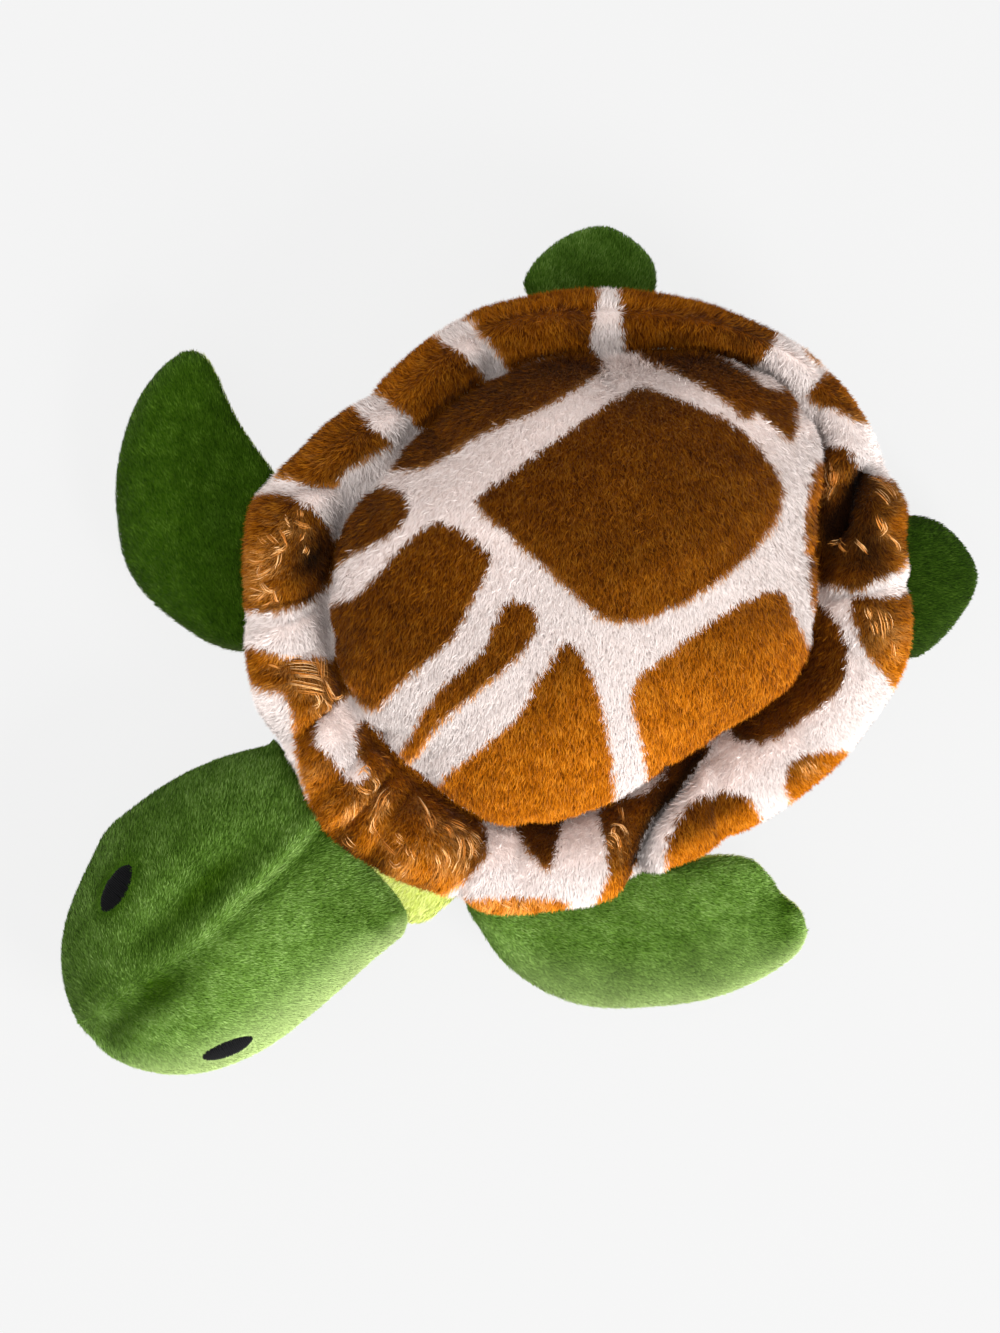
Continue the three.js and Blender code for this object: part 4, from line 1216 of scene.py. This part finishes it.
def make_belly():
    a, t = np.meshgrid(np.arange(SHELL_AROUND) / SHELL_AROUND * TURN, np.linspace(0, 90, BELLY_ROWS))
    top = seam_height() + 0.2
    seam = slice_point(a, seam_reach(a), top - (top - BELLY_INSET) * np.sin(t * DEGREE))
    reach = np.linalg.norm(seam[..., :2], axis=-1)
    flat = BELLY_FLAT * reach
    radius = flat + (reach - flat - BELLY_INSET) * np.cos(t * DEGREE) ** 0.9
    seam[..., :2] *= (radius / reach)[..., None]
    last = seam[-1]
    rows = np.concatenate([seam] + [(last * [share, share, 1])[None] for share in (0.75, 0.5, 0.25)])
    rows = rows + wavy_ways(rows, SHELL_WAVES, 11) * [SHELL_WAVE_HEIGHT, SHELL_WAVE_HEIGHT, 0]
    cloth = turned_out(grid_mesh("belly_cloth", rows, end_point=np.array([0, 0, last[0, 2]])))
    write_floats(cloth, thick=np.where(places(cloth)[:, 2] < 2, 0.7, 1.0), long=1)
    combed_along(cloth, [0, 1, -0.2])
    dressed(cloth, lime_plush("belly_cloth"))
    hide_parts("belly_cover")
    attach(cloth, "body")
    pile = grow(cloth, "belly_pile", LIME_PILE, seed=41, density=4.5, length=2.4, width=0.34, lean=1.5, floor=0.05)
    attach(pile, "body")


# Head, in its own straight frame: distance ahead of its back, its right and left edges,
# its rise and its drop
HEAD_STATIONS = [
    (-2, -23, 29, 13, 13), (0, -23.8, 33, 15.5, 15.5), (3.5, -25.6, 36.2, 18.5, 17.5), (8, -27.8, 37, 21.5, 19.5),
    (15, -30.4, 36.8, 24.6, 21), (27, -33.5, 36.9, 28, 22), (38, -34.7, 36.4, 29.6, 22), (43.5, -34.7, 36, 29.8, 22),
    (51, -31.9, 34.9, 29, 21.6), (60, -28.2, 32.2, 26.6, 20), (66, -25.3, 29.8, 23.9, 18.2),
    (71.5, -21.6, 26.2, 20.6, 16), (75.5, -17.8, 22.4, 17.2, 13.4), (78.6, -13.4, 18, 13.4, 10.6),
    (80.8, -8.8, 13.4, 9.4, 7.4), (82.2, -3.8, 8.6, 5.2, 4), (82.8, 0.4, 4.4, 1.8, 1.4),
]
HEAD_BACK, HEAD_MIDDLE = -82.0, 26.0
HEAD_TURN, HEAD_SHIFT, NECK_PIVOT = 3 * DEGREE, 4.0, -80.0
CHIN_SEAM = 21.0
HEAD_RINGS, HEAD_AROUND = 40, 96
HEAD_EVENED = [(-3.0, 0.12), (-1.5, 0.23), (0.0, 0.3), (1.5, 0.23), (3.0, 0.12)]
# The green nap's pile, on the head and the flippers
GREEN_PILE = dict(density=10.0, length=1.25, width=0.2, lean=1.1, stray=0.35, tuft=0.7, tuft_size=800.0, floor=0.05)


def head_frame(points):
    """From the head's own straight frame to the row's: turned about the neck's pivot."""
    c, s = math.cos(HEAD_TURN), math.sin(HEAD_TURN)
    x, y, z = points[..., 0], points[..., 1] - NECK_PIVOT, points[..., 2]
    return np.stack([c * x - s * y + HEAD_SHIFT, s * x + c * y + NECK_PIVOT, z], -1)


def head_rows(fine):
    """The head's rings from its back to its nose, and where each point is: ahead, across and up."""
    first, last = HEAD_STATIONS[0][0], HEAD_STATIONS[-1][0]
    share = 0.5 - 0.5 * np.cos(np.linspace(0.02, 0.985, (HEAD_RINGS - 1) * fine + 1) * math.pi)
    turn = np.arange(HEAD_AROUND * fine) / (HEAD_AROUND * fine) * TURN
    ahead, t = np.meshgrid(first + share * (last - first), turn, indexing="ij")
    # Each edge is evened out over a few millimetres, which leaves no corner at a station
    calm = smooth(last, last - 14, ahead) * smooth(first, first + 6, ahead)
    right, left, rise, drop = (
        sum(along_table(HEAD_STATIONS, column, np.clip(ahead + step * calm, first, last)) * weight
            for step, weight in HEAD_EVENED) for column in (1, 2, 3, 4))
    half = np.maximum((left - right) / 2 - HEAD_INSET, 0.3)
    tall = np.maximum(np.where(np.sin(t) > 0, rise, drop) - HEAD_INSET, 0.3)
    x, z = (right + left) / 2 + half * np.cos(t), tall * np.sin(t)
    y = HEAD_BACK - HEAD_INSET - ahead * (1 - 2 * HEAD_INSET / (last - first))
    return np.stack([x, y, HEAD_MIDDLE + z], -1), ahead, t


def head_seam(points, ahead, t):
    """The seam along the head's top: a ridge beside a groove, which turn into a valley at the nose.
    Gives back the points, and how deep each lies in a hollow, less on the ridge: painted shade in the hollows and
    painted light on the ridge."""
    x = points[..., 0] - np.interp(ahead, [0, 30, 60, 80], [-0.6, -0.8, -0.4, 1.6])
    on_top = smooth(0.1, 0.7, np.sin(t))
    near = 1 - smooth(26, 54, ahead)
    ridge = near * bump(x + 3.2, 2.6)
    groove = near * np.exp(-((np.abs(x) / 1.9) ** 1.3))
    valley = smooth(42, 56, ahead) * (1 - smooth(78, 82, ahead)) * bump(x, 4.0)
    side = smooth(12, 26, ahead) * (1 - smooth(52, 64, ahead)) * bump(x + 10.5, 4.8)
    back = bump(x - 22, 10.0) * bump(ahead - 8, 5.0)
    lip = bump(x - 31, 5.0) * bump(ahead - 3, 4.0)
    points[..., 2] += on_top * (1.4 * ridge - 1.2 * groove - 2.2 * valley - 2.6 * side - 2.2 * back + 1.4 * lip)
    # The left cheek is cut shorter at its back, where the neck shows
    points[..., 1] -= 3.4 * smooth(4, 17, x) * smooth(12, -1, ahead)
    return points, on_top * (0.55 * groove + 0.75 * valley + 0.8 * side + 0.8 * back - 0.5 * ridge)


# Spots of painted shade and painted light on the head: a pixel, the half width in millimetres, the change of shade
HEAD_PAINTED_SHADES = [
    (148, 984, 4.5, -0.8), (120, 1005, 4, -0.5), (90, 1000, 6, -0.4), (330, 930, 8, -0.45), (380, 890, 4, 0.6),
    (392, 945, 6, -0.9), (355, 984, 6, -0.9), (315, 1014, 6, -0.7), (230, 780, 7, 0.2),
]


def head_cloth():
    """The head's cloth, stuffed, with what it says about its nap and its painted light and shade, and where the eyes
    lie on it.
    """
    coarse, _, _ = head_rows(1)
    held = [*range(2 * HEAD_AROUND), HEAD_RINGS * HEAD_AROUND]
    moved = swollen(coarse, held, slack=0.03, most=1.2)
    rows, ahead, t = head_rows(2)
    rows, hollow = head_seam(rows + doubled(moved), ahead, t)
    cloth = closed_mesh("head_cloth", head_frame(rows + wavy_ways(rows, (50, 44, 38), 31) * 0.45))
    eyes = {name: eye_place(cloth, *looks) for name, looks in EYES.items()}
    place, facing = places(cloth), facings(cloth)
    thick, long, painted_eye_shade = np.ones(len(place)), np.ones(len(place)), np.zeros(len(place))
    for middle, way, side, _ in eyes.values():
        off = place - middle
        inside = np.hypot(off @ way / (EYE_LENGTH / 2), off @ side / (EYE_WIDTH / 2))
        near = np.abs(off @ np.cross(way, side)) < 4
        thick[near & (inside < 1.02)] = 0
        long = np.where(near, long * mix(0.45, 1, smooth(1.0, 1.7, inside)), long)
        painted_eye_shade += np.where(near, 0.45 * smooth(1.9, 1.0, inside), 0)
    lime = smooth(CHIN_SEAM + 0.8, CHIN_SEAM - 0.8, place[:, 2])
    # Painted shade: darker in the seam's hollows and round the eyes; painted light: lighter on the ridge and on the
    # lit side
    dark = 0.6 * np.append(hollow.ravel(), [0, 0]) + painted_eye_shade
    shade = mix(0.48, 1.42, smooth(-0.6, 0.75, facing @ PAINTED_LIGHT_WAY)) - dark + 0.16 * wavy(place, 17, 37)
    write_floats(cloth, print=lime, thick=thick * mix(1.0, 0.5, lime), long=long,
                 shade=np.clip(shade + spots(place, HEAD_PAINTED_SHADES), -0.3, 1.6), pale=painted_sheen(cloth, 0.75, 0.1))
    # Combed back from the nose and down the cheeks, away from the seam
    away = np.tanh((place[:, 0] - 5) / 3) * 0.6
    combed_along(cloth, np.stack([away, 0 * away + 0.7, 0 * away - 0.3], 1))
    return cloth, eyes


def make_head():
    cloth, eyes = head_cloth()
    dressed(cloth, green_plush("head_cloth"))
    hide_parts("head_cover_right", "head_cover_left", "head_chin_cover", "head_fill")
    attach(cloth, "head")
    strands = green_plush("head_pile", True)
    for side, sign in (("right", -1), ("left", 1)):
        pile = grow(cloth, f"head_pile_{side}", strands, seed=51 + sign,
                    keep=lambda middles: sign * middles[:, 0] > 4 * sign, **GREEN_PILE)
        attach(pile, "head")
    for name, place in eyes.items():
        make_eye(name, *place)


EYE_LENGTH, EYE_WIDTH, EYE_THREADS = 13.4, 8.2, 28
# Where each eye is in the photograph, and which way its long axis runs there
EYES = {
    "eye_right": ((116, 888), (-31, 51)),
    "eye_left": ((228, 1049), (47, -20)),
}


def eye_place(cloth, pixel, way):
    """The eye's middle on the cloth, its long and short axes along it, and its facing."""
    tree = BVHTree.FromObject(cloth, bpy.context.evaluated_depsgraph_get())
    step = 4 * np.array(way) / math.hypot(*way)
    (middle, ahead), (facing, _) = under_pixels(tree, [pixel, pixel + step])
    long_way = ahead - middle
    long_way -= facing * (long_way @ facing)
    long_way /= np.linalg.norm(long_way)
    return middle, long_way, np.cross(facing, long_way), facing


STITCH_INPUTS = [("Points", "Geometry"), ("Thread", "Object"), ("Width", "Float"), ("Material", "Material")]


def stitch_tree():
    """Lays a thread from each point along its way, as long as its span, facing up from the cloth."""
    tree, given = group_tree("stitches", STITCH_INPUTS, "Stitches")
    cloud = Field(new_node(tree, "GeometryNodeMeshToPoints", {"Mesh": given["Points"]}))
    way, facing = (attribute(tree, name, "FLOAT_VECTOR") for name in ("way", "facing"))
    size = new_node(tree, "ShaderNodeCombineXYZ", {
        "X": attribute(tree, "span"), "Y": given["Width"], "Z": attribute(tree, "rise")})
    return repeat_piece(tree, cloud, given["Thread"], turned_to(tree, way, "X", facing, "Z"), Field(size),
                        given["Material"])


# Points along one stitch and round it
STITCH_STEPS, STITCH_SIDES = 9, 6


def thread_shape():
    """One stitch of length one along X, one wide, which rises and dips back into the cloth."""
    x = np.linspace(-0.5, 0.5, STITCH_STEPS)
    bow = np.sqrt(np.clip(1 - (2 * x) ** 4, 0, 1))
    turn = np.arange(STITCH_SIDES) / STITCH_SIDES * TURN
    rings = np.stack([np.broadcast_to(x[:, None], (STITCH_STEPS, STITCH_SIDES)),
                      0.5 * np.cos(turn)[None] * (0.5 + 0.5 * bow)[:, None],
                      (bow - 0.55)[:, None] + 0.35 * np.sin(turn)[None]], -1)
    piece = closed_mesh("stitch_shape", rings / MM)
    write_floats(piece, run=np.append(np.repeat(x * 40, STITCH_SIDES), [-20, 20]))
    return piece


def stitches(name, middles, ways, facing, spans, rises, width, material):
    """Rows of stitches as one plain mesh."""
    points = mesh_piece(name + "_bed", middles, [], smooth=False)
    write_vectors(points, way=ways, facing=facing)
    write_floats(points, span=np.asarray(spans) * MM, rise=np.asarray(rises) * MM)
    mesh = grown_mesh(points, STITCHES, name, {"Thread": THREAD, "Width": width * MM, "Material": material})
    mesh.shade_smooth()
    return link(name, mesh)


def make_eye(name, middle, way, side, facing):
    """An embroidered oval: satin stitches side by side over a low pad."""
    place = (np.arange(EYE_THREADS) + 0.5) / EYE_THREADS * 2 - 1
    draw = np.random.default_rng(len(name))
    span = EYE_WIDTH * np.sqrt(1 - place ** 2) + draw.uniform(-0.25, 0.35, EYE_THREADS)
    middles = middle + way * (place * EYE_LENGTH / 2)[:, None] - facing * (0.25 + 0.5 * place ** 2)[:, None]
    rises = 0.9 + 0.5 * np.sqrt(1 - place ** 2)
    ways = side + way * draw.uniform(-0.03, 0.03, EYE_THREADS)[:, None]
    eye = stitches(name + "_stitches", middles, ways, np.tile(facing, (EYE_THREADS, 1)), span, rises,
                   EYE_LENGTH / EYE_THREADS * 1.25, EYE_THREAD)
    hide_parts(name)
    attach(eye, "head")


# The neck: its middle, its half width and half height, and its two ends
NECK_X, NECK_Z, NECK_HALF_WIDTH, NECK_HALF_HEIGHT = 10.5, 21.0, 29.0, 13.5
NECK_ENDS = (-66.0, -91.0)
NECK_ROWS, NECK_AROUND = 22, 128


def make_neck():
    s, t = np.meshgrid(np.linspace(0, 1, NECK_ROWS), np.arange(NECK_AROUND) / NECK_AROUND * TURN, indexing="ij")
    # It narrows inside the head
    size = np.sqrt(1 - 0.75 * np.clip((s - 0.6) / 0.4, 0, 1) ** 2)
    x = NECK_X + (NECK_HALF_WIDTH * size - NECK_INSET) * np.cos(t)
    z = NECK_Z + (NECK_HALF_HEIGHT * size - NECK_INSET) * np.sin(t)
    rows = head_frame(np.stack([x, mix(*NECK_ENDS, s), z], -1))
    cloth = closed_mesh("neck_cloth", rows + wavy(rows, 30, 61)[..., None] * 0.3)
    write_floats(cloth, thick=1, long=1)
    combed_along(cloth, [0, -1, 0])
    dressed(cloth, lime_plush("neck_cloth"))
    pile = grow(cloth, "neck_pile", LIME_PILE, seed=61, density=9.0, length=1.6, width=0.24, lean=1.3)
    for piece in (cloth, pile):
        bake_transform(piece)
    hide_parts("neck_cover", "neck_fill")


# Flippers. Each has its seam's angle round the shell, its droop, its tone (painted shade that makes its
# nap lighter or darker), its pale (painted sheen), its half thickness, half the width of its root,
# and its two edges from root to tip: distance out from the seam and along it, in turn.
FLIPPERS = {
    "front_right_flipper": dict(
        at=222, droop=24, painted_tone=-0.1, pale=0.3, thick=8.5, root=20,
        first=(-2, 21, 4.8, 24, 15.1, 22.3, 26.3, 14.8, 34.8, 4.6, 37.9, -8, 38.1, -20, 35.4, -34, 30.8, -43.6,
               25.4, -49.2, 20.6, -51.2),
        second=(-2, -19, 0.2, -23.5, 3.6, -28.3, 6.6, -32.5, 9.2, -36.4, 11.4, -40.2, 13.2, -43.8, 14.7, -46.8,
                16.2, -49.1, 18, -50.7, 20.6, -51.2),
    ),
    "front_left_flipper": dict(
        at=320, droop=24, painted_tone=0.7, pale=0.7, thick=8.5, root=20,
        first=(-2, -20, 5.5, -21.5, 13.8, -17.6, 22.6, -12.2, 30.2, -4.2, 36, 6.4, 38.3, 19.4, 37.3, 37.4, 33.4,
               52, 26.6, 62.4, 18.8, 67),
        second=(-2, 20, -2.2, 25.5, -2.6, 31, -3, 36.5, -3.3, 42, -3.4, 47.5, -2, 53, 2.4, 57, 7.4, 60, 12.6, 65.2,
                18.8, 67),
    ),
    "rear_right_flipper": dict(
        at=138, droop=30, painted_tone=0.35, pale=0.35, thick=7, root=12,
        first=(-2, 21, 2.5, 22.9, 6.5, 20.9, 9.8, 17.6, 12.6, 13.6, 14.6, 8.8, 15.4, 4.6, 15.6, 1),
        second=(-2, -11, 2, -11.8, 5.5, -11.7, 8.7, -10.4, 11.4, -8.2, 13.4, -5.4, 14.8, -2.4, 15.6, 1),
    ),
    "rear_left_flipper": dict(
        at=52, droop=30, painted_tone=-1, pale=0.05, thick=7, root=12,
        first=(-2, 10, 5, 12.2, 11, 12.8, 17.1, 11.4, 21.8, 8.4, 25.6, 4.6, 28, 0.4, 28.6, -4.5),
        second=(-2, -18, 4, -22.6, 9, -25.3, 13.8, -25.4, 18.4, -22.6, 22.6, -18, 26.4, -11.5, 28.6, -4.5),
    ),
}
# How far round the shell, both ways, the frame takes the seam's direction at a flipper, in degrees
FRAME_SEAM_REACH = 9.0
FLIPPER_ROWS, FLIPPER_ACROSS = 60, 32
# Painted shade and painted light on the flippers' nap: a pixel, the half width in millimetres, the change of shade
FLIPPER_PAINTED_SHADES = [
    (788, 898, 4, -1.3), (806, 908, 2.4, 0.8), (700, 905, 9, 0.15), (620, 972, 6, -0.6), (780, 932, 5, -0.5),
    (500, 940, 6, 0.8), (685, 932, 6, -0.2), (560, 956, 5, -0.3), (740, 880, 6, 0.2), (690, 965, 6, -0.45),
    (805, 926, 2.5, 0.9),
]


def frame_seam(angle):
    """The side seam as the frame has it, where the flippers' pivots are."""
    crease = ellipse(DOME_WIDTH, DOME_LENGTH, angle) + DOME_MIDDLE
    bulge = 1 + 0.1 * bump(turn_gap(angle / DEGREE, 207), 18)
    outer = ellipse(SHELL_WIDTH * bulge, SHELL_LENGTH * bulge, angle)
    return crease + (outer - crease) * (1 + math.cos(RIM_END * DEGREE)) / 2


def flipper_matrix(at, droop):
    near = FRAME_SEAM_REACH * DEGREE
    along = frame_seam(at * DEGREE + near) - frame_seam(at * DEGREE - near)
    middle = (*frame_seam(at * DEGREE), seam_height() + SEAM_GAP / 2)
    return np.array(Matrix.Translation(middle) @ Matrix.Rotation(math.atan2(-along[0], along[1]), 4, "Z")
                    @ Matrix.Rotation(droop * DEGREE, 4, "Y"))


def flipper_rows(flipper):
    """Rings across the flipper from its root to its tip, in its own frame."""
    stations = 0.5 - 0.5 * np.cos(np.linspace(0.03, 0.97, FLIPPER_ROWS) * math.pi)
    edges = []
    for name in ("first", "second"):
        rows = np.reshape(flipper[name], (-1, 2)).astype(float)
        at = np.linspace(0, 1, len(rows))
        edges.append(np.stack([curve_through(at, rows[:, k], stations) for k in (0, 1)], -1))
    first, second = edges
    share = (0.5 - 0.5 * np.cos(np.linspace(0, math.pi, FLIPPER_ACROSS)))[None, :, None]
    wide = np.linalg.norm(second - first, axis=1)
    room = np.clip(FLIPPER_INSET / np.maximum(wide, 1e-6), 0, 0.45)[:, None, None]
    flat = mix(first[:, None], second[:, None], room + share * (1 - 2 * room))
    u, v = flat[..., 0], flat[..., 1]
    full = flipper["thick"] * (1 - np.exp(-wide / 11))[:, None]
    full = full * np.sqrt(np.clip(1 - np.abs(2 * share[..., 0] - 1) ** 2.2, 0, 1))
    # It thins to the seam that it is sewn in by, without a crease
    pinch = 2.6 + 0.34 * np.hypot(np.maximum(0, u), np.maximum(0, np.abs(v) - flipper["root"]))
    level = -np.log(np.exp(-full) + np.exp(-pinch))
    level = np.clip(level - FLIPPER_INSET * 0.7, 0.05, None) * np.clip(full / 1.2, 0.02, 1)
    u = u / math.cos(flipper["droop"] * DEGREE)
    low = np.stack([u, v, -level], -1)[:, ::-1]
    return np.concatenate([np.stack([u, v, level], -1), low[:, 1:-1]], 1)


def make_flipper(name, flipper):
    rows, seed = flipper_rows(flipper), flipper["at"]
    matrix = flipper_matrix(seed, flipper["droop"])
    levels = np.append(rows[..., 2].ravel(), [0, 0])
    rows = rows @ matrix[:3, :3].T + matrix[:3, 3]
    rows = rows + wavy_ways(rows, (40, 36, 30), seed) * 0.35
    rows[..., 2] = np.maximum(rows[..., 2], 0.9)
    cloth = closed_mesh(name + "_cloth", rows)
    first, second = (np.reshape(flipper[edge], (-1, 2)).astype(float) for edge in ("first", "second"))
    tip = first[-1] - (first[0] + second[0]) / 2
    lay = matrix[:3, 0] * tip[0] + matrix[:3, 1] * tip[1]
    lay /= np.linalg.norm(lay)
    place = places(cloth)
    # Painted shade: the flipper's own tone, lighter where it faces its tip, and the listed spots; pale is painted
    # sheen
    shade = flipper["painted_tone"] + 0.25 * facing_shade(cloth, lay) + 0.14 * wavy(place, 15, seed + 5)
    write_floats(cloth, print=smooth(0.25, -0.25, levels + 0.12), thick=np.where(levels < -0.3, 0.55, 1.0), long=1,
                 shade=np.clip(shade + spots(place, FLIPPER_PAINTED_SHADES), -1, 1.6),
                 pale=painted_sheen(cloth, flipper["pale"], -0.05))
    combed_along(cloth, lay)
    dressed(cloth, green_plush(name + "_cloth"))
    pile = grow(cloth, name + "_pile", FLIPPER_PILE, seed=70 + seed, **GREEN_PILE)
    for piece in (cloth, pile):
        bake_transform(piece)
    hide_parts(name + "_top", name + "_under", name + "_fill")


# The closing stitches: the angles between which they lie, their number, and their length, rise and thickness
CLOSING_ANGLES, CLOSING_COUNT = (80, 101), 9
CLOSING_SPAN, CLOSING_RISE, CLOSING_WIDTH = 4.6, 1.1, 0.9


def make_closing_stitch():
    """Hand-sewn ladder stitches over the rear of the side seam."""
    angle = np.linspace(*CLOSING_ANGLES, CLOSING_COUNT) * DEGREE
    seam = slice_point(angle, seam_reach(angle) + 0.4, seam_height())
    out = unit(np.stack([np.cos(angle) * 0.3, np.sin(angle), -0.35 + 0 * angle], -1))
    along = unit(np.gradient(seam, axis=0))
    ways = np.cross(out, along) + along * 0.35
    row = stitches("closing_stitch_row", seam, ways, out, np.full(CLOSING_COUNT, CLOSING_SPAN),
                   np.full(CLOSING_COUNT, CLOSING_RISE), CLOSING_WIDTH, SEWING_THREAD)
    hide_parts("closing_stitch")
    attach(row, "body")


# Floor, lamps and world

# The floor's half size in metres, its greys for the light that it gives back and for the camera, and its glow
FLOOR_SIZE, FLOOR_GREYS, FLOOR_GLOW = 6.0, (0.55, 0.035), 0.845
# Each lamp: the way towards it, its size in metres and its power
LAMPS = {"key": ((0.85, 0.06, 0.75), 0.5, 21), "fill": ((-0.3, -0.6, 1.0), 1.2, 8)}
LAMP_DISTANCE = 1.2
WORLD_LIGHT = 0.72


def make_stage():
    """A pale floor that looks evenly white from above, and gives off less light than it shows."""
    corners = [(x * FLOOR_SIZE, y * FLOOR_SIZE, 0) for x, y in ((-1, -1), (1, -1), (1, 1), (-1, 1))]
    floor = mesh_piece("floor", corners, [(0, 1, 2, 3)], smooth=False, scale=1)
    material = bpy.data.materials.new("pale_floor")
    material.use_nodes = True
    tree = material.node_tree
    tree.nodes.clear()
    plain, shown = (Field(new_node(tree, "ShaderNodeBsdfDiffuse", {"Color": (grey, grey, grey, 1)}))
                    for grey in FLOOR_GREYS)
    glow = Field(new_node(tree, "ShaderNodeEmission", {"Color": (1, 1, 1, 1), "Strength": FLOOR_GLOW}))
    both = Field(new_node(tree, "ShaderNodeAddShader", {0: shown, 1: glow}))
    path = new_node(tree, "ShaderNodeLightPath")
    camera, glossy, through = (Field(path, f"Is {kind} Ray") for kind in ("Camera", "Glossy", "Transmission"))
    seen = camera.maths("MAXIMUM", glossy).maths("MAXIMUM", through)
    pick = Field(new_node(tree, "ShaderNodeMixShader", {0: seen, 1: plain, 2: both}))
    new_node(tree, "ShaderNodeOutputMaterial", {0: pick})
    dressed(floor, material)


def make_lamp(name, way, size, power):
    data = bpy.data.lights.new(name, "AREA")
    data.size, data.energy = size, power
    lamp, way = link(name, data), Vector(way).normalized()
    lamp.location = way * LAMP_DISTANCE
    lamp.rotation_mode = "QUATERNION"
    lamp.rotation_quaternion = way.to_track_quat("Z", "Y")


def make_world():
    world = bpy.data.worlds.new("studio")
    bpy.context.scene.world = world
    world.use_nodes = True
    shader = world.node_tree.nodes["Background"]
    shader.inputs["Color"].default_value = (1, 1, 1, 1)
    shader.inputs["Strength"].default_value = WORLD_LIGHT


PILE, BLADE = pile_tree(), blade_shape()
STITCHES, THREAD = stitch_tree(), thread_shape()
LIME_PILE, FLIPPER_PILE = lime_plush("lime_pile", True), green_plush("flipper_pile", True)
EYE_THREAD = plush("eye_thread", spun((0, 0, 1), (9, 9, 13)), sheen=0.0, roughness=0.6, specular=0.12)
SEWING_THREAD = plush("sewing_thread", spun((170, 160, 150), (226, 220, 210)), sheen=0.1, roughness=0.7,
                      specular=0.12)

make_camera()
make_shell()
make_crease_thread()
make_belly()
make_closing_stitch()
make_neck()
make_head()
for limb_name, limb in FLIPPERS.items():
    make_flipper(limb_name, limb)
bpy.data.objects.remove(BLADE)
bpy.data.objects.remove(THREAD)
make_stage()
for lamp_name, looks_of_lamp in LAMPS.items():
    make_lamp(lamp_name, *looks_of_lamp)
make_world()

bpy.context.scene.view_settings.view_transform = "Standard"
